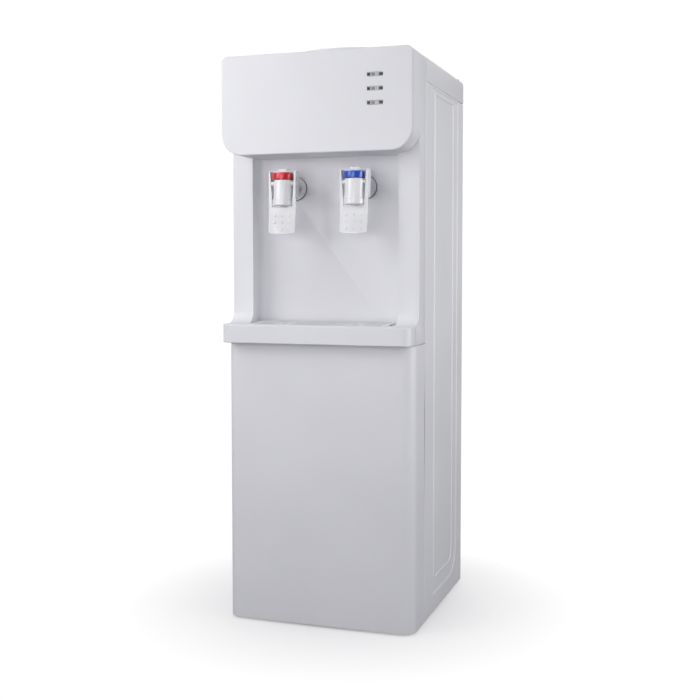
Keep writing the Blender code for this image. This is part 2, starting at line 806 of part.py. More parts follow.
def cold_tank():
    y = back(BOTTLE_BACK)
    steel = 0.001
    top = COLD_BASE_Z + COLD_HEIGHT
    profile = (
        (0, COLD_BASE_Z),
        (COLD_RADIUS, COLD_BASE_Z),
        (COLD_RADIUS, top),
        (COLD_RADIUS - steel, top),
        (COLD_RADIUS - steel, COLD_BASE_Z + steel),
        (0, COLD_BASE_Z + steel),
    )
    tank = solid("cold_tank", turned(profile, (0, y, 0), steps=32), "stainless", smooth=True)
    bores = []
    for name, (px, py) in port_places().items():
        start = (px, py, COLD_BASE_Z + steel / 2)
        bores.append(stub(tank, name, start, (px, py, SHELF_Z - 0.004), "stainless"))
    cut(tank, *bores)
    baffle = COLD_BASE_Z + COLD_HEIGHT * 0.52
    profile = (
        (0.0075, baffle - 0.045),
        (0.0090, baffle - 0.045),
        (0.0090, baffle),
        (COLD_RADIUS - 0.004, baffle),
        (COLD_RADIUS - 0.004, baffle + 0.002),
        (0.0075, baffle + 0.002),
    )
    solid("cold_tank_baffle", turned(profile, (0, y, 0), steps=24), "tap_white", smooth=True)


def coil_radius():
    """Corner radius of the coil, whose flats just clear the tank."""
    return (COLD_RADIUS + COIL_TUBE + 2 * GAP) / math.cos(math.pi / COIL_STEPS)


def coil_tail():
    """Where the coil's lower end leaves, in X and Y."""
    reach = coil_radius()
    return (reach * math.cos(COIL_EXIT), back(BOTTLE_BACK) + reach * math.sin(COIL_EXIT))


def cold_tank_foam():
    """A thick cup of foam round the cold tank and its coil, standing on the shelf."""
    inner = coil_radius() + COIL_TUBE + 0.001
    outer = inner + FOAM
    base = SHELF_Z + SHEET + GAP
    top = COLD_BASE_Z + COLD_HEIGHT - 0.004
    profile = (
        (0, base),
        (outer, base),
        (outer, top),
        (inner, top),
        (inner, COLD_BASE_Z - GAP),
        (0, COLD_BASE_Z - GAP),
    )
    axis = (0, back(BOTTLE_BACK), 0)
    foam = solid("cold_tank_foam", turned(profile, axis, steps=28), "foam", smooth=True)
    holes = {**port_places(), "coil_tail": coil_tail()}
    for name, (x, y) in holes.items():
        hole = rod((x, y, base - WALL), (x, y, COLD_BASE_Z + WALL), PORT + 0.0022, 14)
        cut(foam, solid(f"{name}_foam_hole", hole, "foam"))


def evaporator_coil():
    x0, y0 = 0, back(BOTTLE_BACK)
    radius = coil_radius()
    low = COLD_BASE_Z + 0.022
    pitch = 3 * COIL_TUBE
    points = [Vector((*coil_tail(), SHELF_Z - 0.012)), Vector((*coil_tail(), low - 0.006))]
    for i in range(COIL_TURNS * COIL_STEPS + 1):
        turn = COIL_EXIT + 2 * math.pi * i / COIL_STEPS
        z = low + pitch * i / COIL_STEPS
        points.append(Vector((x0 + radius * math.cos(turn), y0 + radius * math.sin(turn), z)))
    tube("evaporator_coil", points, COIL_TUBE, "copper")


def tank_shelf():
    """A steel shelf across the case that carries the tanks."""
    edge = HALF - SHEET - 2 * GAP
    front = back(BAY_BACK) + WALL + TAIL_LENGTH + 5 * HOSE
    rear = back(DEPTH - REAR_INSET) - GAP
    shelf = solid(
        "tank_shelf",
        block((-edge, front, SHELF_Z), (edge, rear, SHELF_Z + SHEET)),
        "galvanised",
    )
    holes = {**port_places(), "coil_tail": coil_tail()}
    for name, (x, y) in holes.items():
        hole = rod((x, y, SHELF_Z - WALL), (x, y, SHELF_Z + 2 * WALL), PORT + 0.0022, 14)
        cut(shelf, solid(f"{name}_shelf_hole", hole, "galvanised"))


def hot_top_z():
    return SHELF_Z - GAP


def hot_ports():
    """The hot tank's stubs: out to the tap, in from the cold tank, and the drain."""
    x, y = HOT_SIDE, back(HOT_BACK)
    top = hot_top_z()
    low = top - HOT_HEIGHT
    reach = HOT_RADIUS + 0.012
    wall = HOT_RADIUS - 0.0011
    return {
        "hot_outlet": ((x, y - wall, top - 0.026), (x, y - reach, top - 0.026)),
        "hot_inlet": ((x + wall, y, low + 0.022), (x + reach, y, low + 0.022)),
        "hot_drain": ((x, y, low + 0.0005), (x, y, low - 0.012)),
    }


def hot_tank():
    axis = (HOT_SIDE, back(HOT_BACK), 0)
    top = hot_top_z()
    low = top - HOT_HEIGHT

    def capsule(inset):
        radius = HOT_RADIUS - inset
        edge = 0.012
        start = arc((radius - edge, low + inset + edge), edge, -90, 0, 3)
        end = arc((radius - edge, top - inset - edge), edge, 0, 90, 3)
        return [(0, low + inset), *start, *end, (0, top - inset)]

    tank = solid("hot_tank", turned(capsule(0), axis, steps=28), "stainless", smooth=True)
    cut(tank, solid("hot_tank_room", turned(capsule(0.0012), axis, steps=28), "stainless"))
    bores = []
    for name, (start, end) in hot_ports().items():
        bores.append(stub(tank, name, start, end, "stainless"))
    cut(tank, *bores)
    middle = (top + low) / 2 - 0.010
    inner = HOT_RADIUS + GAP
    outer = inner + 0.0035
    profile = (
        (inner, middle - 0.018),
        (outer, middle - 0.018),
        (outer, middle + 0.018),
        (inner, middle + 0.018),
    )
    band = solid("heater_band", turned(profile, axis, steps=28), "brass", smooth=True)
    y = back(HOT_BACK) + outer
    box_low = (HOT_SIDE - 0.009, y - 0.002, middle - 0.012)
    terminals = block(box_low, (HOT_SIDE + 0.009, y + 0.009, middle + 0.012))
    join(band, solid("heater_terminals", terminals, "brass"))


def tap_tail(side):
    """The open end of a tap's threaded tail, behind the bay."""
    y = back(BAY_BACK) + WALL + TAIL_LENGTH
    return Vector((side * TAP_SPACING / 2, y, SHANK_Z))


def hoses():
    """Silicone hoses from port to port, and the drain to the rear."""
    ports = hot_ports()
    down = Vector((0, 0, -1))
    rearward = Vector((0, 1, 0))
    cold_x, cold_y = port_places()["cold_port"]
    start = Vector((cold_x, cold_y, SHELF_Z - 0.004 - GAP))
    end = tap_tail(1) + rearward * GAP
    low = (start + end) / 2
    low.z = end.z - 0.024
    route = (start, start + down * 0.008, low, end + rearward * 0.008, end)
    tube("cold_hose", smooth_route(route), HOSE, "silicone")

    start = Vector(ports["hot_outlet"][1]) - rearward * GAP
    end = tap_tail(-1) + rearward * GAP
    middle = (start + end) / 2
    route = (start, start - rearward * 0.008, middle, end + rearward * 0.008, end)
    tube("hot_hose", smooth_route(route), HOSE, "silicone")

    feed_x, feed_y = port_places()["feed_port"]
    start = Vector((feed_x, feed_y, SHELF_Z - 0.004 - GAP))
    end = Vector(ports["hot_inlet"][1]) + Vector((GAP, 0, 0))
    middle = Vector((start.x + 0.006, (start.y + end.y) / 2 + 0.010, (start.z + end.z) / 2))
    route = (start, start + down * 0.010, middle, end + Vector((0.008, 0, 0)), end)
    tube("feed_hose", smooth_route(route), HOSE, "silicone")

    start = Vector(ports["hot_drain"][1]) + down * GAP
    end = Vector((DRAIN_SIDE, drain_end_y(), DRAIN_Z))
    far = (start + end) / 2
    route = (start, start + down * 0.012, far, end - rearward * 0.035, end)
    tube("drain_hose", smooth_route(route), HOSE, "silicone")


def drain_end_y():
    return back(DEPTH - REAR_INSET) + SHEET + 0.010


def drain_cap():
    """A push-on cap over the end of the drain."""
    y = drain_end_y() - 0.008
    length = 0.014
    inner = HOSE + GAP
    profile = (
        (0, length),
        (inner + 0.0025, length),
        (inner + 0.0035, length * 0.6),
        (inner + 0.0025, 0),
        (inner, 0),
        (inner, 0.008 + GAP),
        (0, 0.008 + GAP),
    )
    cap = turned(profile, (DRAIN_SIDE, y, DRAIN_Z), "Y", 20)
    solid("drain_cap", cap, "silicone", smooth=True, pivot=(DRAIN_SIDE, y, DRAIN_Z))


# ---------------------------------------------------------------- cooling


def condenser_y():
    return back(DEPTH - REAR_INSET) + SHEET + 0.013


def condenser_ends():
    """The condenser's lower ends: hot gas in on the left, liquid out on the right."""
    z = REAR_START_Z - 0.004
    return (
        Vector((CONDENSER_LEFT, condenser_y(), z)),
        Vector((CONDENSER_RIGHT + CONDENSER_PITCH / 2, condenser_y(), z)),
    )


def condenser():
    """One serpentine tube: level runs joined by half-round bends, and a return run down."""
    y = condenser_y()
    bend = CONDENSER_PITCH / 2
    start, end = condenser_ends()
    points = [start, Vector((CONDENSER_LEFT, y, CONDENSER_LOW_Z))]
    low, high = CONDENSER_LEFT + bend, CONDENSER_RIGHT - bend
    for row in range(CONDENSER_ROWS):
        z = CONDENSER_LOW_Z + row * CONDENSER_PITCH
        ahead = row % 2 == 0
        points.append(Vector(((low if ahead else high), y, z)))
        turn_x = high if ahead else low
        if row == CONDENSER_ROWS - 1:
            points.append(Vector((turn_x, y, z)))
            break
        for i in range(5):
            turn = math.radians(-90 + 45 * i)
            reach = bend * math.cos(turn) * (1 if ahead else -1)
            points.append(Vector((turn_x + reach, y, z + bend + bend * math.sin(turn))))
    top = points[-1].z
    points += [Vector((end.x - 0.004, y, top)), Vector((end.x, y, top - 0.004)), end]
    kept = [points[0]]
    for point in points[1:]:
        if (point - kept[-1]).length > 1e-4:
            kept.append(point)
    tube("condenser", kept, CONDENSER_TUBE, "black_paint")


def compressor():
    """A sealed steel can on a footplate with four rubber-mounted legs."""
    axis = (CAN_SIDE, back(CAN_BACK), 0)
    floor = PAN_Z + SHEET + GAP
    base = floor + 0.016
    top = base + CAN_HEIGHT
    dome = 0.030
    lower = [(CAN_RADIUS * math.cos(t), base + dome * (1 + math.sin(t))) for t in dome_angles(-90, 0)]
    upper = [(CAN_RADIUS * math.cos(t), top - dome * (1 - math.sin(t))) for t in dome_angles(0, 90)]
    seam = (lower[-1][1] + upper[0][1]) / 2
    weld = [
        (CAN_RADIUS, seam - 0.004),
        (CAN_RADIUS + 0.003, seam - 0.002),
        (CAN_RADIUS + 0.003, seam + 0.002),
        (CAN_RADIUS, seam + 0.004),
    ]
    profile = [(0, base), *lower[1:], *weld, *upper[:-1], (0, top)]
    can = solid("compressor", turned(profile, axis, steps=28), "black_paint", smooth=True)
    # The room inside leaves the shell, motor and pump their real weight.
    room = rod((*axis[:2], base + dome / 2), (*axis[:2], top - dome / 2), CAN_RADIUS - 0.010, 20)
    cut(can, solid("compressor_room", room, "black_paint"))
    port = can_ports()[1]
    bore = rod(port - Vector((0.002, 0, 0)), port + Vector((0.016, 0, 0)), PIPE * 0.8, 10)
    cut(can, solid("suction_bore", bore, "black_paint"))
    x, y = axis[0], axis[1]
    reach_x, reach_y = CAN_RADIUS * 1.15, CAN_RADIUS * 0.75
    plate = block(
        (x - reach_x - 0.010, y - reach_y - 0.010, floor + 0.010),
        (x + reach_x + 0.010, y + reach_y + 0.010, base + 0.004),
    )
    join(can, solid("compressor_plate", plate, "black_paint"))
    for dx in (-reach_x, reach_x):
        for dy in (-reach_y, reach_y):
            start = (x + dx, y + dy, floor)
            leg = rod(start, (x + dx, y + dy, floor + 0.012), 0.008, 12)
            join(can, solid(f"mount_{dx:.2f}_{dy:.2f}", leg, "rubber"))


def dome_angles(start, end):
    return [math.radians(start + (end - start) * i / 4) for i in range(5)]


def can_ports():
    """Where pipes meet the can: discharge low on the left, suction high on the right."""
    y = back(CAN_BACK)
    base = PAN_Z + SHEET + GAP + 0.016
    reach = CAN_RADIUS + 0.0035
    return (
        Vector((CAN_SIDE - reach, y, base + CAN_HEIGHT * 0.40)),
        Vector((CAN_SIDE - reach, y, base + CAN_HEIGHT * 0.66)),
    )


def refrigerant_pipes():
    """Copper from the compressor to the condenser, and from the coil back to it."""
    discharge, suction = can_ports()
    inlet, outlet = condenser_ends()
    end = inlet - Vector((0, 0, GAP))
    route = (
        discharge,
        discharge + Vector((-0.012, 0, 0)),
        discharge + Vector((-0.050, 0.030, 0.006)),
        Vector((end.x + 0.004, end.y - 0.018, end.z - 0.060)),
        end - Vector((0, 0, 0.012)),
        end,
    )
    tube("discharge_pipe", smooth_route(route), PIPE, "copper")
    start = Vector((*coil_tail(), SHELF_Z - 0.012 - GAP))
    side = HOT_SIDE - HOT_RADIUS - 0.018
    rearward = (start.y + back(DEPTH - REAR_INSET)) / 2
    route = (
        start,
        start - Vector((0, 0, 0.010)),
        Vector((side, rearward, start.z - 0.080)),
        Vector((side, rearward, start.z - 0.300)),
        Vector((side + 0.004, suction.y + 0.020, suction.z + 0.100)),
        suction + Vector((-0.012, 0, 0)),
        suction,
    )
    tube("suction_pipe", smooth_route(route), PIPE, "copper")
    top = outlet.z - GAP
    length = 0.085
    profile = (
        (0, top - length),
        (DRIER_RADIUS * 0.4, top - length),
        (DRIER_RADIUS, top - length + 0.012),
        (DRIER_RADIUS, top - 0.012),
        (DRIER_RADIUS * 0.4, top),
        (0, top),
    )
    drier = turned(profile, (outlet.x, outlet.y, 0), steps=18)
    solid("filter_drier", drier, "copper", smooth=True)


# ---------------------------------------------------------------- rear services


def service_y():
    """The rear panel's outer face."""
    return back(DEPTH - REAR_INSET) + SHEET + GAP


def switches():
    """A plate with two rocker switches, each rocking about a level pin."""
    y = service_y()
    thick = 0.002
    low = (SERVICE_SIDE - 0.018, y, SWITCH_Z - 0.042)
    plate = solid(
        "switch_plate", block(low, (SERVICE_SIDE + 0.018, y + thick, SWITCH_Z + 0.042)), "black_plastic"
    )
    half_width, half_height = ROCKER_WIDTH / 2, ROCKER_HEIGHT / 2
    swing = 0.0012
    for name, slot, z in rocker_places():
        low = (SERVICE_SIDE - half_width - GAP * 2, y - WALL, z - half_height - swing)
        high = (SERVICE_SIDE + half_width + GAP * 2, y + 2 * WALL, z + half_height + swing)
        cut(plate, solid(f"{name}_opening", block(low, high), "black_plastic"))
        # A shallow V outside and a round belly inside, tipped to its off position.
        face = y + thick
        outline = [
            (face + 0.0030, -half_height),
            (face + 0.0005, 0.0),
            (face + 0.0030, half_height),
            (y - 0.002, half_height * 0.86),
            (y - 0.006, 0.0),
            (y - 0.002, -half_height * 0.86),
        ]
        bm = prism(
            [(v, z + w) for v, w in outline],
            "X",
            SERVICE_SIDE - half_width,
            SERVICE_SIDE + half_width,
        )
        axis = Vector((SERVICE_SIDE, y, z))
        tip = Matrix.Translation(axis) @ Matrix.Rotation(ROCKER_TIP, 4, "X") @ Matrix.Translation(-axis)
        bmesh.ops.transform(bm, matrix=tip, verts=bm.verts)
        solid(name, bm, slot, pivot=axis)


def power_inlet():
    """A mains inlet with its three blades in a deep socket."""
    y = service_y()
    x, z = SERVICE_SIDE, INLET_Z
    slot = "black_plastic"
    flange = block((x - 0.0175, y, z - 0.0135), (x + 0.0175, y + 0.002, z + 0.0135))
    inlet = solid("power_inlet", flange, slot)
    body = block((x - 0.0134, y - 0.016, z - 0.0099), (x + 0.0134, y + 0.001, z + 0.0099))
    join(inlet, solid("inlet_body", body, slot))
    room = rounded((x - 0.0118, z - 0.0083), (x + 0.0118, z + 0.0083), (0.001, 0.001, 0.005, 0.005), 3)
    cut(inlet, solid("inlet_room", prism(room, "Y", y - 0.014, y + 0.004), slot))
    for dx, dz in ((-0.007, -0.002), (0.007, -0.002), (0.0, 0.002)):
        low = (x + dx - 0.001, y - 0.015, z + dz - 0.002)
        blade = block(low, (x + dx + 0.001, y - 0.001, z + dz + 0.002))
        join(inlet, solid(f"blade_{dx:.3f}", blade, slot))


# ---------------------------------------------------------------- taps


def tap(prefix, side, ring_slot):
    """One lever tap. Its axis stands ahead of the bay's back wall."""
    x, y = side * TAP_SPACING / 2, back(TAP_BACK)
    top = SHANK_Z + BARREL_RISE
    tap_body(prefix, x, y, top)
    bonnet(prefix, x, y, top, ring_slot)
    stem(prefix, x, y, top)
    lever(prefix, x, y)
    tap_fixings(prefix, x)


def tap_body(prefix, x, y, top):
    """Barrel, nozzle, threaded shank and pivot pins in one moulding."""
    slot = "tap_white"
    nozzle = SHANK_Z - BARREL_DROP
    seat = nozzle + 0.0075
    profile = (
        (NOZZLE_BORE, nozzle),
        (NOZZLE_BORE + 0.002, nozzle),
        (NOZZLE_BORE + 0.003, nozzle + 0.0030),
        (BARREL_RADIUS - 0.003, nozzle + 0.0030),
        (BARREL_RADIUS + 0.0008, nozzle + 0.0060),
        (BARREL_RADIUS + 0.0008, nozzle + 0.0105),
        (BARREL_RADIUS, nozzle + 0.0112),
        (BARREL_RADIUS, top),
        (BARREL_BORE, top),
        (BARREL_BORE, seat),
        (NOZZLE_BORE, seat),
    )
    body = solid(f"{prefix}_tap_body", turned(profile, (x, y, 0), steps=24), slot, smooth=True)
    wall = back(BAY_BACK)
    start = (x, y + BARREL_BORE + 0.003, SHANK_Z)
    shank = rod(start, (x, wall + WALL + NUT_THICK + 0.002, SHANK_Z), SHANK_RADIUS, 20)
    join(body, solid(f"{prefix}_shank", shank, slot))
    tail_end = wall + WALL + TAIL_LENGTH
    tail = rod((x, wall + WALL, SHANK_Z), (x, tail_end, SHANK_Z), TAIL_RADIUS, 16)
    join(body, solid(f"{prefix}_tail", tail, slot))
    for way in (-1, 1):
        pivot_y, pivot_z = y - PIVOT_AHEAD, SHANK_Z + PIVOT_RISE
        inner = x + way * (BARREL_BORE + 0.003)
        pin_end = x + way * (LEVER_WIDTH / 2 + 0.0004)
        pin = rod((inner, pivot_y, pivot_z), (pin_end, pivot_y, pivot_z), PIVOT_RADIUS, 14)
        join(body, solid(f"{prefix}_pin_{way}", pin, slot))
        boss_end = x + way * (LEVER_WIDTH / 2 - 2 * ARM_THICK)
        boss = rod((inner, pivot_y, pivot_z), (boss_end, pivot_y, pivot_z), PIVOT_RADIUS * 1.8, 14)
        join(body, solid(f"{prefix}_boss_{way}", boss, slot))
    bore = rod((x, y + BARREL_BORE - 0.003, SHANK_Z), (x, tail_end + WALL, SHANK_Z), 0.0035, 14)
    cut(body, solid(f"{prefix}_shank_bore", bore, slot))


def bonnet(prefix, x, y, top, ring_slot):
    """The cap that closes the barrel, and the coloured ring round it."""
    low = top + GAP
    high = low + RING_HEIGHT
    inner = STEM_RADIUS + GAP * 2
    plug = BARREL_BORE - GAP
    room = 0.0066
    rim = RING_RADIUS - 0.0022
    profile = (
        (room, top - 0.008),
        (plug, top - 0.008),
        (plug, low),
        (rim, low),
        (rim, high),
        (rim - 0.002, high + 0.0007),
        (inner, high + 0.0007),
        (inner, high - 0.004),
        (room, high - 0.004),
    )
    solid(f"{prefix}_bonnet", turned(profile, (x, y, 0), steps=24), "tap_white", smooth=True)
    profile = (
        (rim + GAP, low),
        (RING_RADIUS - 0.0006, low),
        (RING_RADIUS, low + 0.0006),
        (RING_RADIUS, high - 0.0006),
        (RING_RADIUS - 0.0006, high),
        (rim + GAP, high),
    )
    solid(f"{prefix}_ring", turned(profile, (x, y, 0), steps=24), ring_slot, smooth=True)


def stem(prefix, x, y, top):
    """Stem with its lifting lug, the seal on its foot and the spring that closes it."""
    seat = SHANK_Z - BARREL_DROP + 0.0075
    bar_top = SHANK_Z + LEVER_RISE
    lug_low = bar_top + GAP
    collar = SHANK_Z - 0.004
    foot = seat + GAP + 0.0015 + GAP
    profile = (
        (0, foot),
        (STEM_RADIUS, foot),
        (STEM_RADIUS, collar),
        (0.0060, collar),
        (0.0060, collar + 0.002),
        (STEM_RADIUS, collar + 0.002),
        (STEM_RADIUS, lug_low + 0.0026),
        (0, lug_low + 0.0026),
    )
    rest = (x, y, lug_low)
    body = solid(f"{prefix}_stem", turned(profile, (x, y, 0), steps=16), "tap_white", pivot=rest)
    lug_rear = y - LEVER_FRONT + ARM_DEPTH + 0.0015
    lug = rounded((x - 0.0075, y - 0.0045), (x + 0.0075, lug_rear), (0.002, 0.002, 0.001, 0.001), 3)
    join(body, solid(f"{prefix}_lug", prism(lug, "Z", lug_low, lug_low + 0.0028), "tap_white"))
    profile = (
        (0, seat + GAP),
        (SEAL_RADIUS - 0.002, seat + GAP),
        (SEAL_RADIUS, seat + 0.003),
        (SEAL_RADIUS, seat + 0.0075),
        (STEM_RADIUS + GAP, seat + 0.0075),
        (STEM_RADIUS + GAP, seat + GAP + 0.0015),
        (0, seat + GAP + 0.0015),
    )
    solid(f"{prefix}_seal", turned(profile, (x, y, 0), steps=20), "silicone", smooth=True)
    low = collar + 0.002 + WIRE + GAP
    high = top + GAP + RING_HEIGHT - 0.004 - WIRE - GAP
    points = []
    count = SPRING_TURNS * 9
    for i in range(count + 1):
        turn = 2 * math.pi * i / 9
        z = low + (high - low) * i / count
        points.append((x + 0.0046 * math.cos(turn), y + 0.0046 * math.sin(turn), z))
    tube(f"{prefix}_spring", points, WIRE, "stainless")


def lever(prefix, x, y):
    """A yoke that straddles the barrel, with a paddle below and a lifting bar behind."""
    slot = "tap_white"
    half = LEVER_WIDTH / 2
    front = y - LEVER_FRONT
    top = SHANK_Z + LEVER_RISE
    neck = SHANK_Z - BARREL_DROP - 0.0030
    pivot = Vector((x, y - PIVOT_AHEAD, SHANK_Z + PIVOT_RISE))
    # The frame narrows round the barrel down to a round-bottomed window.
    slim = half - ARM_THICK
    wide = half - 0.0062
    sag = 0.0035
    window = [(x + slim, top)]
    for i in range(9):
        turn = math.radians(180 * i / 8)
        window.append((x + wide * math.cos(turn), neck + sag * (1 - math.sin(turn))))
    window.append((x - slim, top))
    frame = [(x - half, top), (x - half, neck - 0.008), (x + half, neck - 0.008), (x + half, top)]
    bm = prism([*frame, *window], "Y", front, front + LEVER_PLATE)
    body = solid(f"{prefix}_lever", bm, slot, pivot=pivot)
    # The paddle leans forward from the frame and has a round foot.
    foot = SHANK_Z - LEVER_DROP
    narrow = half - 0.0008
    paddle = [(x - half, neck - 0.0045)]
    paddle += [(x - narrow, foot + 0.003)]
    paddle += [(x + narrow * t / 4, foot + 0.002 * (t / 4) ** 2) for t in range(-4, 5)]
    paddle += [(x + narrow, foot + 0.003), (x + half, neck - 0.0045)]
    bm = prism(paddle, "Y", front, front + LEVER_PLATE)
    hinge = Vector((x, front + LEVER_PLATE / 2, neck - 0.006))
    lean = Matrix.Rotation(-LEVER_LEAN, 4, "X")
    turn = Matrix.Translation(hinge) @ lean @ Matrix.Translation(-hinge)
    bmesh.ops.transform(bm, matrix=turn, verts=bm.verts)
    join(body, solid(f"{prefix}_paddle", bm, slot))
    arm_foot = SHANK_Z - 0.021
    for way in (-1, 1):
        outer = x + way * half
        inner = outer - way * ARM_THICK
        rear = front + ARM_DEPTH
        side = [
            (front + GAP, arm_foot - 0.004),
            *arc((rear - 0.009, arm_foot + 0.009), 0.009, -90, 0, 4),
            (rear, top - GAP),
            (front + GAP, top - GAP),
        ]
        low, high = sorted((outer - way * GAP / 4, inner))
        join(body, solid(f"{prefix}_arm_{way}", prism(side, "X", low, high), slot))
        low, high = sorted((inner - way * WALL, outer + way * WALL))
        start, end = (low, pivot.y, pivot.z), (high, pivot.y, pivot.z)
        hole = rod(start, end, PIVOT_RADIUS + GAP, 14)
        cut(body, solid(f"{prefix}_pivot_hole_{way}", hole, slot))
    rear = front + ARM_DEPTH
    bar = block((x - half + GAP, rear - 0.0022, top - 0.0028), (x + half - GAP, rear - GAP, top))
    join(body, solid(f"{prefix}_bar", bar, slot))


def tap_fixings(prefix, x):
    """The round cover plate against the bay and the nut behind it."""
    wall = back(BAY_BACK)
    thick = 0.0025
    inner = SHANK_RADIUS + GAP
    profile = (
        (inner, 0),
        (ESCUTCHEON_RADIUS - 0.0015, 0),
        (ESCUTCHEON_RADIUS, 0.0010),
        (ESCUTCHEON_RADIUS, thick),
        (inner, thick),
    )
    plate = turned(profile, (x, wall - GAP - thick, SHANK_Z), "Y", 28)
    solid(f"{prefix}_escutcheon", plate, "tap_white", smooth=True)
    start, end = wall + WALL + GAP, wall + WALL + GAP + NUT_THICK
    hexagon = rod((x, start, SHANK_Z), (x, end, SHANK_Z), 1.6 * SHANK_RADIUS, 6)
    nut = solid(f"{prefix}_nut", hexagon, "tap_white")
    thread = rod((x, start - WALL, SHANK_Z), (x, end + WALL, SHANK_Z), inner, 20)
    cut(nut, solid(f"{prefix}_nut_thread", thread, "tap_white"))


clear_scene()
front_housing()
head_fascia()
indicators()
lower_front_panel()
drip_tray()
drip_grille()
side_panel("left_side_panel", -1)
side_panel("right_side_panel", 1)
base_plate()
feet()
rear_panel()
top_deck()
bottle_collar()
bottle_funnel()
cold_tank()
cold_tank_foam()
evaporator_coil()
tank_shelf()
hot_tank()
hoses()
drain_cap()
condenser()
compressor()
refrigerant_pipes()
switches()
power_inlet()
tap("hot", -1, "hot_red")
tap("cold", 1, "cold_blue")
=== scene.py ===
# %% [markdown]
# # A floor-standing water dispenser
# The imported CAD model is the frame: every body, joint and size comes from it. This notebook gives
# each visible piece its finished shape and surface, and then the light and the camera.

# %% Load the frame
import json
import math

import bmesh
import bpy
from mathutils import Matrix, Vector


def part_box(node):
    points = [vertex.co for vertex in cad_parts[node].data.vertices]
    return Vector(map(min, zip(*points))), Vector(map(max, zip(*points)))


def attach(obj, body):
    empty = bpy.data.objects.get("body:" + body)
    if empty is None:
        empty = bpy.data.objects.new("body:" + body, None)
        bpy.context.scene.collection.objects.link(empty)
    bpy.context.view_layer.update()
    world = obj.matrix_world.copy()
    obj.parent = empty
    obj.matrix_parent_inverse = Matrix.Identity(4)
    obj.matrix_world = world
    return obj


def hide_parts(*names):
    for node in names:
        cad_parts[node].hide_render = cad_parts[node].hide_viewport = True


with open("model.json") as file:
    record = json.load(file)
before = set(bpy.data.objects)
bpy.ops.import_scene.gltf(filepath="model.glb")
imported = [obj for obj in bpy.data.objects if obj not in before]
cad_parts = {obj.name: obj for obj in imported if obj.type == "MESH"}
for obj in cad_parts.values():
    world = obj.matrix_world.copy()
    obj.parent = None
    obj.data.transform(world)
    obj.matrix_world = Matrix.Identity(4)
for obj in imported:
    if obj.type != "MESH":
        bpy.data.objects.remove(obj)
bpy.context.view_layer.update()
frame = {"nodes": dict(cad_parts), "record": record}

record = frame["record"]
slot_of = {part["node"]: part["material_slot"] for part in record["subparts"]}
body_of = {node: body for body, nodes in record["behaviour"]["bodies"].items() for node in nodes}


# %% Places on the dispenser
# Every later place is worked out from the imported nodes, so that a piece lands where the CAD has it.
def low(node):
    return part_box(node)[0]


def high(node):
    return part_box(node)[1]


def middle(node):
    return [(a + b) / 2 for a, b in zip(low(node), high(node))]


GRILLE_MARGIN = 0.010  # from the grille's end to the bay's side wall
LEDGE_REACH = 0.0252  # from the head's face back to the joint behind the ledge's ends
HALF_WIDTH = high("head_fascia").x
FACE_Y = low("head_fascia").y
HEAD_Z = low("head_fascia").z
DECK_Z = high("top_deck").z
TRAY_TOP = high("drip_tray").z
TRAY_FRONT = low("drip_tray").y
PANEL_TOP = high("lower_front_panel").z
PANEL_FRONT = low("lower_front_panel").y
BAY_HALF = high("drip_grille").x + GRILLE_MARGIN
SEAM_Y = FACE_Y + LEDGE_REACH
print(f"head face at y {FACE_Y:.4f}, deck at z {DECK_Z:.3f}")

# %% [markdown]
# ## Writing shaders as sums
# A surface's roughness or bump is a formula over the surface. Wrapping a node socket in a class whose
# operators add Math nodes lets the script say `0.3 + 0.1 * grain`, which is easier to read and to change
# than a list of links.


# %% A socket that does arithmetic
class Value:
    """A node's output. Arithmetic on it adds Math nodes."""

    def __init__(self, finish, socket):
        self.finish = finish
        self.socket = socket

    def math(self, operation, first, second):
        settings = {"operation": operation}
        return self.finish.node("ShaderNodeMath", settings, {0: first, 1: second})

    def __add__(self, other):
        return self.math("ADD", self, other)

    def __radd__(self, other):
        return self.math("ADD", other, self)

    def __sub__(self, other):
        return self.math("SUBTRACT", self, other)

    def __rsub__(self, other):
        return self.math("SUBTRACT", other, self)

    def __mul__(self, other):
        return self.math("MULTIPLY", self, other)

    def __rmul__(self, other):
        return self.math("MULTIPLY", other, self)

    def above(self, edge):
        return self.math("GREATER_THAN", self, edge)

    def larger(self, other):
        return self.math("MAXIMUM", self, other)


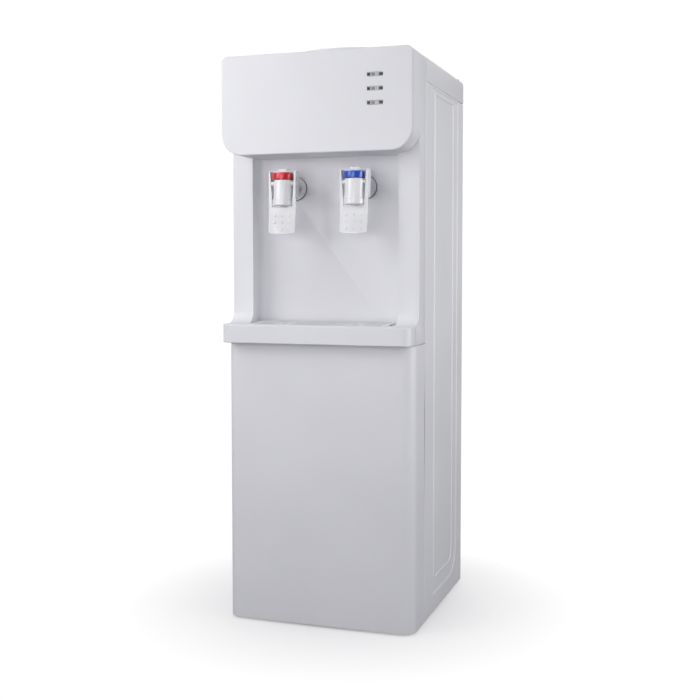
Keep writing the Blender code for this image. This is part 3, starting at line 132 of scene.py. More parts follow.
class Finish:
    """One surface finish: a Principled shader and the nodes that vary it."""

    def __init__(self, name, colour, roughness, metallic=0.0, **constants):
        self.material = bpy.data.materials.new(name)
        self.material.use_nodes = True
        self.tree = self.material.node_tree
        self.shader = self.tree.nodes["Principled BSDF"]
        self.shader.inputs["Base Color"].default_value = (*colour, 1.0)
        self.shader.inputs["Roughness"].default_value = roughness
        self.shader.inputs["Metallic"].default_value = metallic
        for socket, value in constants.items():
            self.shader.inputs[socket.replace("_", " ")].default_value = value
        self.material.diffuse_color = (*colour, 1.0)

    def node(self, kind, settings=None, inputs=None, output=0):
        """Adds a node, sets it, links or fills its inputs and returns one of its outputs."""
        made = self.tree.nodes.new(kind)
        for name, value in (settings or {}).items():
            setattr(made, name, value)
        for key, value in (inputs or {}).items():
            if isinstance(value, Value):
                self.tree.links.new(value.socket, made.inputs[key])
            else:
                made.inputs[key].default_value = value
        return Value(self, made.outputs[output])

    def place(self):
        """Object coordinates in metres. Finished pieces sit at the origin, so these are the frame's own."""
        return self.node("ShaderNodeTexCoord", output="Object")

    def stretched(self, scale):
        """Object coordinates multiplied by a scale for each axis."""
        inputs = {"Vector": self.place(), "Scale": scale}
        return self.node("ShaderNodeMapping", {"vector_type": "POINT"}, inputs)

    def noise(self, scale, detail=2.0, point=None):
        """Cloudy noise from 0 to 1, with this many features in a metre."""
        inputs = {"Vector": point or self.place(), "Scale": scale, "Detail": detail}
        return self.node("ShaderNodeTexNoise", None, inputs, "Fac")

    def ramp(self, value, start, end, low_value=0.0, high_value=1.0):
        """value mapped from start..end to low_value..high_value and clamped."""
        inputs = {"Value": value, 1: start, 2: end, 3: low_value, 4: high_value}
        return self.node("ShaderNodeMapRange", {"clamp": True}, inputs)

    def mix(self, factor, first, second):
        """A colour between two colours."""
        rgba = [c if isinstance(c, Value) else (*c, 1.0) for c in (first, second)]
        inputs = {"Factor": factor, 6: rgba[0], 7: rgba[1]}
        return self.node("ShaderNodeMix", {"data_type": "RGBA"}, inputs, 2)

    def bump(self, height, strength, distance):
        """A normal tilted by a height map whose full height is distance metres."""
        inputs = {"Height": height, "Strength": strength, "Distance": distance}
        return self.node("ShaderNodeBump", None, inputs)

    def set(self, socket, value):
        self.tree.links.new(value.socket, self.shader.inputs[socket])


print("shader helpers ready")

# %% [markdown]
# ## Moulded white plastic
# The head, bay, tray and lower panel are ABS mouldings. Their tools are spark-eroded, which leaves a fine
# matt grain of about a third of a millimetre; large flat mouldings also carry a faint cloudiness where the
# melt cooled unevenly. Fine noise feeds the bump, and slow noise shifts the roughness a little.


# %% White mouldings
def moulded(name, colour, roughness, grain=3200.0, depth=0.00006, coat=0.0):
    """grain is in features per metre, and depth is its height in metres."""
    finish = Finish(name, colour, roughness, Coat_Weight=coat, Coat_Roughness=0.25)
    cloud = finish.noise(7.0, 3.0)
    darker = tuple(0.965 * c for c in colour)
    finish.set("Base Color", finish.mix(finish.ramp(cloud, 0.3, 0.7), darker, colour))
    fine = finish.noise(grain, 2.0)
    uneven = finish.ramp(cloud + 0.25 * fine, 0.3, 0.95, roughness - 0.05, roughness + 0.06)
    finish.set("Roughness", uneven)
    finish.set("Normal", finish.bump(fine, 0.35, depth))
    return finish.material


# %% [markdown]
# ## Painted steel
# The sides are coil-coated sheet. Paint on sheet shows orange peel: soft ripples two or three millimetres
# wide, far smoother than the plastic's grain. The ripples are stretched a little along the rolling direction.


# %% Painted steel
def painted(name, colour, roughness):
    finish = Finish(name, colour, roughness, Coat_Weight=0.25, Coat_Roughness=0.18)
    peel = finish.noise(420.0, 1.0, finish.stretched((1.0, 1.0, 0.6)))
    cloud = finish.noise(5.0, 2.0)
    darker = tuple(0.97 * c for c in colour)
    finish.set("Base Color", finish.mix(finish.ramp(cloud, 0.35, 0.65), darker, colour))
    finish.set("Roughness", finish.ramp(cloud, 0.3, 0.7, roughness - 0.04, roughness + 0.05))
    finish.set("Normal", finish.bump(peel, 0.10, 0.0003))
    return finish.material


# %% [markdown]
# ## Bare metals, foam and rubber
# The zinc coat on the hidden sheets shows spangle, which a Voronoi pattern gives. Drawn tube and turned
# cans are brushed along one direction, so their noise is stretched. Foam is a cell pattern.


# %% Metals
def cells(finish, scale, output):
    """A Voronoi pattern with this many cells in a metre."""
    inputs = {"Vector": finish.place(), "Scale": scale}
    return finish.node("ShaderNodeTexVoronoi", {"feature": "F1"}, inputs, output)


def spangled(name, colour, roughness):
    finish = Finish(name, colour, roughness, 1.0)
    tone = finish.node("ShaderNodeSeparateColor", None, {0: cells(finish, 90.0, "Color")}, 0)
    darker = tuple(0.78 * c for c in colour)
    finish.set("Base Color", finish.mix(tone, darker, colour))
    finish.set("Roughness", finish.ramp(tone, 0.0, 1.0, roughness - 0.08, roughness + 0.10))
    return finish.material


def brushed(name, colour, roughness, lines=(900.0, 900.0, 30.0)):
    finish = Finish(name, colour, roughness, 1.0)
    streak = finish.noise(1.0, 2.0, finish.stretched(lines))
    darker = tuple(0.82 * c for c in colour)
    finish.set("Base Color", finish.mix(streak, darker, colour))
    finish.set("Roughness", finish.ramp(streak, 0.3, 0.7, roughness - 0.07, roughness + 0.10))
    finish.set("Normal", finish.bump(streak, 0.15, 0.00005))
    return finish.material


# %% Foam, rubber and dull plastics
def cellular(name, colour):
    finish = Finish(name, colour, 0.92)
    cell = cells(finish, 420.0, "Distance")
    browner = tuple(0.8 * c for c in colour)
    finish.set("Base Color", finish.mix(finish.ramp(cell, 0.2, 0.7), colour, browner))
    finish.set("Normal", finish.bump(cell, 0.6, 0.0006))
    return finish.material


def dull(name, colour, roughness, grain=1800.0, depth=0.0001):
    finish = Finish(name, colour, roughness)
    fine = finish.noise(grain, 3.0)
    wear = finish.noise(30.0, 3.0)
    paler = tuple(min(1.0, c * 1.35 + 0.01) for c in colour)
    finish.set("Base Color", finish.mix(finish.ramp(wear, 0.45, 0.75), colour, paler))
    finish.set("Roughness", finish.ramp(wear, 0.3, 0.7, roughness - 0.06, roughness + 0.08))
    finish.set("Normal", finish.bump(fine, 0.4, depth))
    return finish.material


# %% Lenses with printed marks
def marked_lens(half_row=0.0023, strokes=1150.0, lamp_end=0.0052, gap_end=0.0066, tail=0.0046):
    """A pale window with a dark lamp at each end and a row of fine dark marks between.

    The marks are random strokes and spell nothing. The lengths are measured from the lens's ends."""
    finish = Finish("marked_lens", (0.6, 0.6, 0.62), 0.22, Coat_Weight=0.4, Coat_Roughness=0.1)
    across = finish.node("ShaderNodeSeparateXYZ", None, {0: finish.place()}, "X")
    height = Value(finish, across.socket.node.outputs["Z"])
    pitch = low("power_lens").z - low("heating_lens").z
    away = finish.node(
        "ShaderNodeMath", {"operation": "PINGPONG"}, {0: height - middle("cooling_lens")[2], 1: pitch / 2}
    )
    row = 1.0 - away.above(half_row)
    stroke = finish.node("ShaderNodeMath", {"operation": "FLOOR"}, {0: across * strokes})
    chance = finish.node("ShaderNodeTexWhiteNoise", {"noise_dimensions": "1D"}, {"W": stroke}, "Value")
    start, end = low("power_lens").x, high("power_lens").x
    lamp = (1.0 - across.above(start + lamp_end)) + across.above(end - tail)
    gap = across.above(start + lamp_end) * (1.0 - across.above(start + gap_end))
    ink = row * (1.0 - gap) * chance.above(0.42).larger(lamp)
    finish.set("Base Color", finish.mix(ink, (0.55, 0.55, 0.57), (0.035, 0.035, 0.04)))
    return finish.material


# %% Every slot's finish
finishes = {
    "white_abs": moulded("moulded_white", (0.80, 0.80, 0.83), 0.40),
    "white_steel": painted("painted_white_steel", (0.87, 0.87, 0.895), 0.34),
    "tap_white": moulded("tap_white", (0.82, 0.82, 0.84), 0.26, grain=5200.0, depth=0.00003, coat=0.3),
    "hot_red": moulded("hot_red", (0.68, 0.007, 0.022), 0.26, grain=5200.0, depth=0.00002, coat=0.3),
    "cold_blue": moulded("cold_blue", (0.006, 0.075, 0.52), 0.26, grain=5200.0, depth=0.00002, coat=0.3),
    "lens": marked_lens(),
    "circuit_board": dull("board_green", (0.02, 0.16, 0.06), 0.45),
    "stainless": brushed("drawn_stainless", (0.62, 0.62, 0.63), 0.28),
    "copper": brushed("copper_tube", (0.72, 0.34, 0.20), 0.30, (300.0, 300.0, 300.0)),
    "black_paint": dull("black_enamel", (0.015, 0.015, 0.017), 0.42, grain=900.0),
    "galvanised": spangled("zinc_sheet", (0.55, 0.56, 0.58), 0.40),
    "foam": cellular("cream_foam", (0.85, 0.82, 0.72)),
    "silicone": dull("silicone_hose", (0.78, 0.78, 0.76), 0.55, depth=0.00005),
    "rubber": dull("black_rubber", (0.03, 0.03, 0.03), 0.80),
    "brass": brushed("brass_band", (0.72, 0.55, 0.25), 0.32),
    "black_plastic": dull("black_plastic", (0.02, 0.02, 0.02), 0.42),
    "switch_red": moulded("switch_red", (0.60, 0.02, 0.02), 0.28, grain=5200.0, depth=0.00002),
    "switch_green": moulded("switch_green", (0.02, 0.40, 0.08), 0.28, grain=5200.0, depth=0.00002),
}
for node, made in frame["nodes"].items():
    made.data.materials.clear()
    made.data.materials.append(finishes[slot_of[node]])
print("finishes:", len(finishes))

# %% [markdown]
# ## From hard CAD edges to moulded ones
# No real moulding or folded sheet has a knife edge. Each visible CAD node is copied, its loose triangles are
# merged and flat areas joined, and a Bevel modifier rounds every edge sharper than a set angle. The CAD node
# itself stays as it is for collision, and the copy stands for it.


# %% Finishing a piece
def placed(name, mesh):
    piece = bpy.data.objects.new(name, mesh)
    bpy.context.scene.collection.objects.link(piece)
    return piece


def put(name, mesh, node):
    """A finished piece on a node's body and slot. It is shown in place of that node."""
    piece = placed(name, mesh)
    mesh.materials.clear()
    mesh.materials.append(finishes[slot_of[node]])
    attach(piece, body_of[node])
    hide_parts(node)
    return piece


def even_shading(piece, angle=38.0):
    """Smooth shading that keeps large flat faces flat and sharp corners sharp."""
    piece.data.shade_smooth()
    piece.data.set_sharp_from_angle(angle=math.radians(angle))
    weigh = piece.modifiers.new("even_shading", "WEIGHTED_NORMAL")
    weigh.keep_sharp = True
    weigh.weight = 90
    return piece


def merged_copy(node):
    """A CAD node's mesh with its vertices merged and its flat areas joined."""
    bm = bmesh.new()
    bm.from_mesh(frame["nodes"][node].data)
    bmesh.ops.remove_doubles(bm, verts=bm.verts, dist=2e-6)
    bmesh.ops.dissolve_limit(bm, angle_limit=math.radians(0.6), verts=bm.verts, edges=bm.edges)
    mesh = bpy.data.meshes.new(node)
    bm.to_mesh(mesh)
    bm.free()
    mesh.shade_smooth()
    return mesh


def softened(node, width):
    """A copy of a CAD node with every edge sharper than 35 degrees rounded."""
    piece = put(f"{node}_shape", merged_copy(node), node)
    soften = piece.modifiers.new("rounded_edges", "BEVEL")
    soften.width = width
    soften.segments = 3
    soften.limit_method = "ANGLE"
    soften.angle_limit = math.radians(35.0)
    soften.harden_normals = True
    soften.use_clamp_overlap = True
    soften.miter_outer = "MITER_ARC"
    return piece


# %% Rounding what the eye meets
edge_radius = {
    "front_housing": 0.0010,
    "top_deck": 0.0012,
    "base_plate": 0.0010,
    "rear_panel": 0.0005,
}
tap_radius = {
    "tap_body": 0.0006,
    "lever": 0.0007,
    "bonnet": 0.0004,
    "ring": 0.0007,
    "stem": 0.0003,
    "escutcheon": 0.0005,
}
for part, radius in tap_radius.items():
    for side in ("cold", "hot"):
        edge_radius[f"{side}_{part}"] = radius
edge_radius |= {
    "hot_switch": 0.0006,
    "cold_switch": 0.0006,
    "switch_plate": 0.0005,
    "power_inlet": 0.0006,
    "drain_cap": 0.0006,
    "compressor": 0.0020,
    "filter_drier": 0.0010,
}
for node, radius in edge_radius.items():
    piece = softened(node, radius)
    evaluated = piece.evaluated_get(bpy.context.evaluated_depsgraph_get())
    print(node, "faces", len(piece.data.polygons), "rounded", len(evaluated.data.polygons))

# %% [markdown]
# ## Skins made of loops
# A moulding with a rounded rim can be drawn as a stack of closed loops, like the contour lines of a hill.
# Faces join each loop to the next. When a flat face has windows, its outer loop and its window loops are
# filled together as triangles.


# %% Loops and skins
def corner_arc(centre, radius, start, end, steps):
    """Points on an arc from one angle to another, in degrees."""
    turns = [math.radians(start + (end - start) * i / steps) for i in range(steps + 1)]
    return [(centre[0] + radius * math.cos(t), centre[1] + radius * math.sin(t)) for t in turns]


def round_box(low_corner, high_corner, radii, inset=0.0, steps=8):
    """Corners with their own radii, from low left anticlockwise, as 2D points."""
    x0, y0 = low_corner[0] + inset, low_corner[1] + inset
    x1, y1 = high_corner[0] - inset, high_corner[1] - inset
    a, b, c, d = (max(r - inset, 0.0002) for r in radii)
    return [
        *corner_arc((x0 + a, y0 + a), a, 180, 270, steps),
        *corner_arc((x1 - b, y0 + b), b, 270, 360, steps),
        *corner_arc((x1 - c, y1 - c), c, 0, 90, steps),
        *corner_arc((x0 + d, y1 - d), d, 90, 180, steps),
    ]


def rim_steps(radius, count=4):
    """Inset and drop of each loop on a quarter-round rim, from the flat face outwards."""
    turns = [math.pi / 2 * i / count for i in range(count + 1)]
    return [(radius * (1 - math.sin(t)), radius * (1 - math.cos(t))) for t in turns]


def circle(centre, radius, count):
    return corner_arc(centre, radius, 0, 360 - 360 / count, count - 1)


def ring_of(bm, points):
    return [bm.verts.new(p) for p in points]


def join_rings(bm, first, second):
    count = len(first)
    for i in range(count):
        j = (i + 1) % count
        bm.faces.new((first[i], first[j], second[j], second[i]))


def edges_of(bm, ring):
    pairs = zip(ring, ring[1:] + ring[:1])
    return [bm.edges.get(pair) or bm.edges.new(pair) for pair in pairs]


def fill_between(bm, outer, holes=()):
    """Triangles across a flat loop, around any holes."""
    edges = edges_of(bm, outer)
    for hole in holes:
        edges += edges_of(bm, hole)
    bmesh.ops.triangle_fill(bm, use_beauty=True, use_dissolve=False, edges=edges)


def mesh_from(bm, name, flat_join=True):
    bmesh.ops.remove_doubles(bm, verts=bm.verts, dist=1e-7)
    if flat_join:
        bmesh.ops.dissolve_limit(bm, angle_limit=0.002, verts=bm.verts, edges=bm.edges)
    bmesh.ops.recalc_face_normals(bm, faces=bm.faces)
    mesh = bpy.data.meshes.new(name)
    bm.to_mesh(mesh)
    bm.free()
    mesh.shade_smooth()
    return mesh


def skin(name, loops):
    """Closed loops joined one to the next, with both ends capped."""
    bm = bmesh.new()
    rings = [ring_of(bm, loop) for loop in loops]
    for first, second in zip(rings, rings[1:]):
        join_rings(bm, first, second)
    bm.faces.new(rings[0])
    bm.faces.new(rings[-1])
    return mesh_from(bm, name, flat_join=False)


def add_column(bm, outline, low_z, high_z):
    """An upright solid on a flat outline."""
    rings = [ring_of(bm, [(x, y, z) for x, y in outline]) for z in (low_z, high_z)]
    join_rings(bm, *rings)
    bm.faces.new(rings[0])
    bm.faces.new(rings[1])


def spun(name, profile, centre, steps):
    """A closed profile of (radius, height) turned about an upright axis."""
    bm = bmesh.new()
    rings = []
    for step in range(steps):
        turn = 2 * math.pi * step / steps
        points = [
            (centre[0] + r * math.cos(turn), centre[1] + r * math.sin(turn), z) for r, z in profile
        ]
        rings.append(ring_of(bm, points))
    for first, second in zip(rings, rings[1:] + rings[:1]):
        join_rings(bm, first, second)
    return mesh_from(bm, name, flat_join=False)


print("loop helpers ready")

# %% [markdown]
# ## The face of the head
# The face is a separate plate, clipped on so that its seam stays clean. Its rim is a quarter round, its
# lower corners are wide and its upper ones small. A narrow groove behind it draws the dark line that
# outlines the plate. Three windows hold the indicator lenses.


# %% Face plate
def face_plate(rim=0.0022, seam=0.0013, groove=0.0030, lower_turn=0.036, upper_turn=0.010, fit=0.0004):
    """fit is both the gap round each lens and the chamfer on its window."""
    outer_low, outer_high = (low("head_fascia").x, HEAD_Z), (HALF_WIDTH, DECK_Z)
    radii = (lower_turn, lower_turn, upper_turn, upper_turn)
    rear = high("head_fascia").y

    def outline(inset, y):
        points = round_box(outer_low, outer_high, radii, inset, 12)
        return [(x, y, z) for x, z in points]

    bm = bmesh.new()
    front = ring_of(bm, outline(rim, FACE_Y))
    previous = front
    levels = [(inset, FACE_Y + drop) for inset, drop in rim_steps(rim)[1:]]
    levels += [(0.0, rear - seam), (groove, rear - seam), (groove, rear)]
    for inset, y in levels:
        ring = ring_of(bm, outline(inset, y))
        join_rings(bm, previous, ring)
        previous = ring
    front_holes, rear_holes = [], []
    for lens in ("power_lens", "heating_lens", "cooling_lens"):
        corner_low = (low(lens).x - fit, low(lens).z - fit)
        corner_high = (high(lens).x + fit, high(lens).z + fit)
        wide = round_box(corner_low, corner_high, [0.0014] * 4, -fit, 4)
        close = round_box(corner_low, corner_high, [0.0012] * 4, 0.0, 4)
        rings = [
            ring_of(bm, [(x, FACE_Y, z) for x, z in wide]),
            ring_of(bm, [(x, FACE_Y + fit, z) for x, z in close]),
            ring_of(bm, [(x, rear, z) for x, z in close]),
        ]
        join_rings(bm, rings[0], rings[1])
        join_rings(bm, rings[1], rings[2])
        front_holes.append(rings[0])
        rear_holes.append(rings[2])
    fill_between(bm, front, front_holes)
    fill_between(bm, previous, rear_holes)
    return even_shading(put("face_plate", mesh_from(bm, "face_plate"), "head_fascia"))


print("face plate faces:", len(face_plate().data.polygons))

# %% [markdown]
# ## The lower panel
# The lower front is one U-shaped moulding. Seen from above it is a rounded bracket. Its rear edges are held
# at the ends only, so between them each edge bows away from the steel and leaves a thin dark slit, widest
# near the middle of the upper half.


# %% Lower panel
def bow(z, start=0.17, end=0.485, depth=0.0040):
    """How far the rear edge stands forward at a height. The powers move the widest place upwards."""
    if not start < z < end:
        return 0.0
    along = (z - start) / (end - start)
    return depth * math.sin(math.pi * along**1.25) ** 1.2


def lower_panel(corner=0.023, wall=0.0025, rim=0.0012, lip=0.0006, gap=0.0007, count=30):
    """lip chamfers the rear edges, gap parts the panel from the ledge, count levels carry the bow."""
    bottom = low("lower_front_panel").z
    top = PANEL_TOP - gap
    rear = high("lower_front_panel").y

    def outline(inset, z):
        half = HALF_WIDTH - inset
        front = PANEL_FRONT + inset
        outer_turn = corner - inset
        inner_half, inner_front = HALF_WIDTH - wall, PANEL_FRONT + wall
        inner_turn = corner - wall
        edge = rear - bow(z) - inset
        outside = [
            (-half + lip, edge),
            (-half, edge - lip),
            *corner_arc((-half + outer_turn, front + outer_turn), outer_turn, 180, 270, 12),
            *corner_arc((half - outer_turn, front + outer_turn), outer_turn, 270, 360, 12),
            (half, edge - lip),
            (half - lip, edge),
        ]
        inside = [
            (inner_half, edge),
            *corner_arc((inner_half - inner_turn, inner_front + inner_turn), inner_turn, 360, 270, 12),
            *corner_arc((-inner_half + inner_turn, inner_front + inner_turn), inner_turn, 270, 180, 12),
            (-inner_half, edge),
        ]
        return [(x, y, z) for x, y in outside + inside]

    rounding = rim_steps(rim, 3)
    levels = [(inset, bottom + drop) for inset, drop in rounding]
    for i in range(1, count):
        levels.append((0.0, bottom + rim + (top - bottom - 2 * rim) * i / count))
    levels += [(inset, top - drop) for inset, drop in reversed(rounding)]
    mesh = skin("lower_panel", [outline(inset, z) for inset, z in levels])
    return even_shading(put("lower_panel", mesh, "lower_front_panel"))


print("lower panel faces:", len(lower_panel().data.polygons))

# %% [markdown]
# ## The drip ledge and tray
# The ledge and the tray behind it are one moulding that slides out for emptying. From above it is a wide
# bar with a tongue that fills the bay. The tongue is hollow, and its rim carries the grille.


# %% Ledge and tray
def tray_loop(inset, z, corner=0.010, turn=0.017, seam_gap=0.0013, side_gap=0.0006):
    """The tray's outline: front corners turn wide, and the tongue's rear corners less."""
    edge = HALF_WIDTH - inset
    front = TRAY_FRONT + inset
    seam = SEAM_Y - seam_gap - inset
    tongue = BAY_HALF - side_gap - inset
    rear = high("drip_tray").y - inset
    bend = corner - inset
    turn = turn - inset
    points = [
        (-edge, seam),
        *corner_arc((-edge + turn, front + turn), turn, 180, 270, 10),
        *corner_arc((edge - turn, front + turn), turn, 270, 360, 10),
        (edge, seam),
        (tongue, seam),
        *corner_arc((tongue - bend, rear - bend), bend, 0, 90, 5),
        *corner_arc((-tongue + bend, rear - bend), bend, 90, 180, 5),
        (-tongue, seam),
    ]
    return [(x, y, z) for x, y in points]


def drip_ledge(top_rim=0.0022, foot_rim=0.0012, wall=0.003, clear=0.0006, under=0.0003, sole=0.0025):
    """clear is the gap round the grille, under the gap below it, and sole the basin's thickness."""
    bottom = low("drip_tray").z
    bm = bmesh.new()
    levels = [(inset, bottom + drop) for inset, drop in rim_steps(foot_rim, 3)]
    levels += [(inset, TRAY_TOP - drop) for inset, drop in reversed(rim_steps(top_rim))]
    rings = [ring_of(bm, tray_loop(inset, z)) for inset, z in levels]
    for first, second in zip(rings, rings[1:]):
        join_rings(bm, first, second)
    fill_between(bm, rings[0])
    corner_low = (low("drip_grille").x - clear, low("drip_grille").y - clear)
    corner_high = (high("drip_grille").x + clear, high("drip_grille").y + clear)
    shelf_z = low("drip_grille").z - under
    floor_z = bottom + sole
    inner = [
        (-0.0005, TRAY_TOP),
        (0.0, TRAY_TOP - 0.0005),
        (0.0, shelf_z),
        (wall, shelf_z),
        (wall, floor_z + 0.003),
        (wall + 0.003, floor_z),
    ]
    wells = []
    for inset, z in inner:
        loop = round_box(corner_low, corner_high, [0.005] * 4, inset, 5)
        wells.append(ring_of(bm, [(x, y, z) for x, y in loop]))
    for first, second in zip(wells, wells[1:]):
        join_rings(bm, first, second)
    fill_between(bm, rings[-1], [wells[0]])
    fill_between(bm, wells[-1])
    return even_shading(put("drip_ledge", mesh_from(bm, "drip_ledge"), "drip_tray"))


print("drip ledge faces:", len(drip_ledge().data.polygons))

# %% [markdown]
# ## One tree for everything in rows
# Grille slots, screws, paddle bumps and condenser wires all stand in rows. A single Geometry Nodes tree
# copies a small mesh along one step, then copies that row along a second step. Its inputs are the two
# counts and the two steps, so the same tree serves every row on the dispenser.


# %% The rows tree
def rows_tree():
    tree = bpy.data.node_groups.new("rows", "GeometryNodeTree")
    side = tree.interface
    side.new_socket("Geometry", in_out="OUTPUT", socket_type="NodeSocketGeometry")
    side.new_socket("Geometry", in_out="INPUT", socket_type="NodeSocketGeometry")
    sockets = {}
    for name, kind in (
        ("Columns", "NodeSocketInt"),
        ("Rows", "NodeSocketInt"),
        ("Column step", "NodeSocketVector"),
        ("Row step", "NodeSocketVector"),
        ("Finish", "NodeSocketMaterial"),
    ):
        sockets[name] = side.new_socket(name, in_out="INPUT", socket_type=kind).identifier
    inside = tree.nodes.new("NodeGroupInput")
    outside = tree.nodes.new("NodeGroupOutput")
    shape = inside.outputs["Geometry"]
    for count, step in (("Columns", "Column step"), ("Rows", "Row step")):
        line = tree.nodes.new("GeometryNodeMeshLine")
        line.mode = "OFFSET"
        tree.links.new(inside.outputs[count], line.inputs["Count"])
        tree.links.new(inside.outputs[step], line.inputs["Offset"])
        copies = tree.nodes.new("GeometryNodeInstanceOnPoints")
        tree.links.new(line.outputs[0], copies.inputs["Points"])
        tree.links.new(shape, copies.inputs["Instance"])
        shape = copies.outputs[0]
    real = tree.nodes.new("GeometryNodeRealizeInstances")
    finish = tree.nodes.new("GeometryNodeSetMaterial")
    tree.links.new(shape, real.inputs[0])
    tree.links.new(real.outputs[0], finish.inputs["Geometry"])
    tree.links.new(inside.outputs["Finish"], finish.inputs["Material"])
    tree.links.new(finish.outputs[0], outside.inputs[0])
    return tree, sockets


ROWS, ROW_SOCKETS = rows_tree()


def plain_mesh(holder, name):
    """A holder's shape after its modifiers, as one mesh. The holder is then removed."""
    graph = bpy.context.evaluated_depsgraph_get()
    made = bpy.data.meshes.new_from_object(holder.evaluated_get(graph))
    made.name = name
    bpy.data.objects.remove(holder)
    return made


def in_rows(name, mesh, finish, columns, column_step, rows, row_step):
    holder = placed(name, mesh)
    copier = holder.modifiers.new("rows", "NODES")
    copier.node_group = ROWS
    values = {
        "Columns": columns,
        "Rows": rows,
        "Column step": tuple(column_step),
        "Row step": tuple(row_step),
        "Finish": finish,
    }
    for key, value in values.items():
        copier[ROW_SOCKETS[key]] = value
    return plain_mesh(holder, name)


def added(name, mesh, body, slot):
    """A small piece that stands for no CAD node, such as a screw."""
    piece = placed(name, mesh)
    if not mesh.materials:
        mesh.materials.append(finishes[slot])
    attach(piece, body)
    return piece


def button(centre, radius, height, facing, segments, dish=0.0):
    """A low dome that faces one way, with an optional dished middle."""
    bm = bmesh.new()
    # Shares of the radius and of the height, from the foot to the tip.
    shape = [(1.0, 0.0), (0.93, 0.55), (0.72, 0.88), (0.4, 1.0 - 0.4 * dish), (0.0, 1.0 - dish)]
    turn = Vector(facing).to_track_quat("Z", "Y").to_matrix().to_4x4()
    place = Matrix.Translation(centre) @ turn
    rings = []
    for r, h in shape[:-1]:
        points = circle((0.0, 0.0), radius * r, segments)
        rings.append(ring_of(bm, [place @ Vector((x, y, height * h)) for x, y in points]))
    for first, second in zip(rings, rings[1:]):
        join_rings(bm, first, second)
    bm.faces.new(rings[0])
    tip = bm.verts.new(place @ Vector((0.0, 0.0, height * shape[-1][1])))
    last = rings[-1]
    for i in range(segments):
        bm.faces.new((last[i], last[(i + 1) % segments], tip))
    return mesh_from(bm, "button", flat_join=False)


print("rows tree inputs:", ", ".join(ROW_SOCKETS))

# %% [markdown]
# ## The drip grille
# Spilled water runs through short slots, and a round hole under each tap lets a full cup's worth through.
# The slots are a cutter in rows, taken from the plate by a Mesh Boolean, which is how a punched plate is
# made as well.


# %% Grille
def capsule(centre, width, length, low_z, high_z):
    """A cutter for one slot with round ends."""
    bm = bmesh.new()
    x, y = centre
    half = length / 2 - width / 2
    loop = corner_arc((x, y + half), width / 2, 0, 180, 6)
    loop += corner_arc((x, y - half), width / 2, 180, 360, 6)
    add_column(bm, loop, low_z, high_z)
    return mesh_from(bm, "capsule", flat_join=False)


def islands_near(bm, places, radius):
    """Every vertex of the islands that come within the radius of one of the places."""
    waiting = [
        vert
        for vert in bm.verts
        if any((vert.co.x - x) ** 2 + (vert.co.y - y) ** 2 < radius**2 for x, y in places)
    ]
    reached = set(waiting)
    while waiting:
        vert = waiting.pop()
        for edge in vert.link_edges:
            other = edge.other_vert(vert)
            if other not in reached:
                reached.add(other)
                waiting.append(other)
    return reached


def punch_cutter(corner_low, corner_high, low_z, high_z, pitch, slot, rows=3):
    """Slots in rows, with a round drain hole in place of the slots under each tap."""
    slot_length, slot_margin, end_margin = 0.0170, 0.005, 0.014
    drain_radius, clear_radius, drain_sides = 0.0070, 0.0145, 24
    rise = (corner_high[1] - corner_low[1] - 2 * slot_margin) / rows
    columns = int((corner_high[0] - corner_low[0] - end_margin) / pitch)
    start = (-(columns - 1) * pitch / 2, corner_low[1] + slot_margin + rise / 2)
    first = capsule(start, slot, slot_length, low_z, high_z)
    steps = (pitch, 0.0, 0.0), (0.0, rise, 0.0)
    mesh = in_rows("slots", first, finishes["white_abs"], columns, steps[0], rows, steps[1])
    taps = [tuple(middle(f"{side}_ring")[:2]) for side in ("hot", "cold")]
    bm = bmesh.new()
    bm.from_mesh(mesh)
    bmesh.ops.delete(bm, geom=list(islands_near(bm, taps, clear_radius)), context="VERTS")
    for tap in taps:
        add_column(bm, circle(tap, drain_radius, drain_sides), low_z, high_z)
    bmesh.ops.recalc_face_normals(bm, faces=bm.faces)
    bm.to_mesh(mesh)
    bm.free()
    print("grille:", columns, "by", rows, "slots")
    return mesh


def drip_grille(pitch=0.0052, slot=0.0028, slope=0.055, thick=0.0012, corner=0.0045, lip=0.0003):
    """A thin plate that rises a little towards the back, so that its slots can be seen."""
    z1 = high("drip_grille").z
    z0 = z1 - thick
    corner_low = (low("drip_grille").x, low("drip_grille").y)
    corner_high = (high("drip_grille").x, high("drip_grille").y)
    loops = []
    for inset, z in ((lip, z0), (0.0, z0 + lip), (0.0, z1 - lip), (lip, z1)):
        points = round_box(corner_low, corner_high, [corner] * 4, inset, 5)
        loops.append([(x, y, z + slope * (y - corner_low[1])) for x, y in points])
    holder = placed("grille", skin("drip_grille", loops))
    # The cutter passes well through the plate, which stands highest at its rear edge.
    cutter_mesh = punch_cutter(corner_low, corner_high, z0 - 0.006, z1 + 0.008, pitch, slot)
    cutter = placed("slot_cutter", cutter_mesh)
    cut = holder.modifiers.new("punch", "BOOLEAN")
    cut.operation = "DIFFERENCE"
    cut.solver = "EXACT"
    cut.object = cutter
    mesh = plain_mesh(holder, "drip_grille")
    bpy.data.objects.remove(cutter)
    print("grille faces:", len(mesh.polygons))
    return even_shading(put("grille", mesh, "drip_grille"), 30.0)


drip_grille()

# %% [markdown]
# ## The steel sides
# Each side is one sheet. A flat sheet this tall would drum and dent, so a shallow field is pressed into it.
# The sheet steps in by a millimetre and a half along the field's outline, and a bead of the same height
# runs round inside it. The edges are folded in over a small radius, so the joint with the plastic shows as
# a dark line.


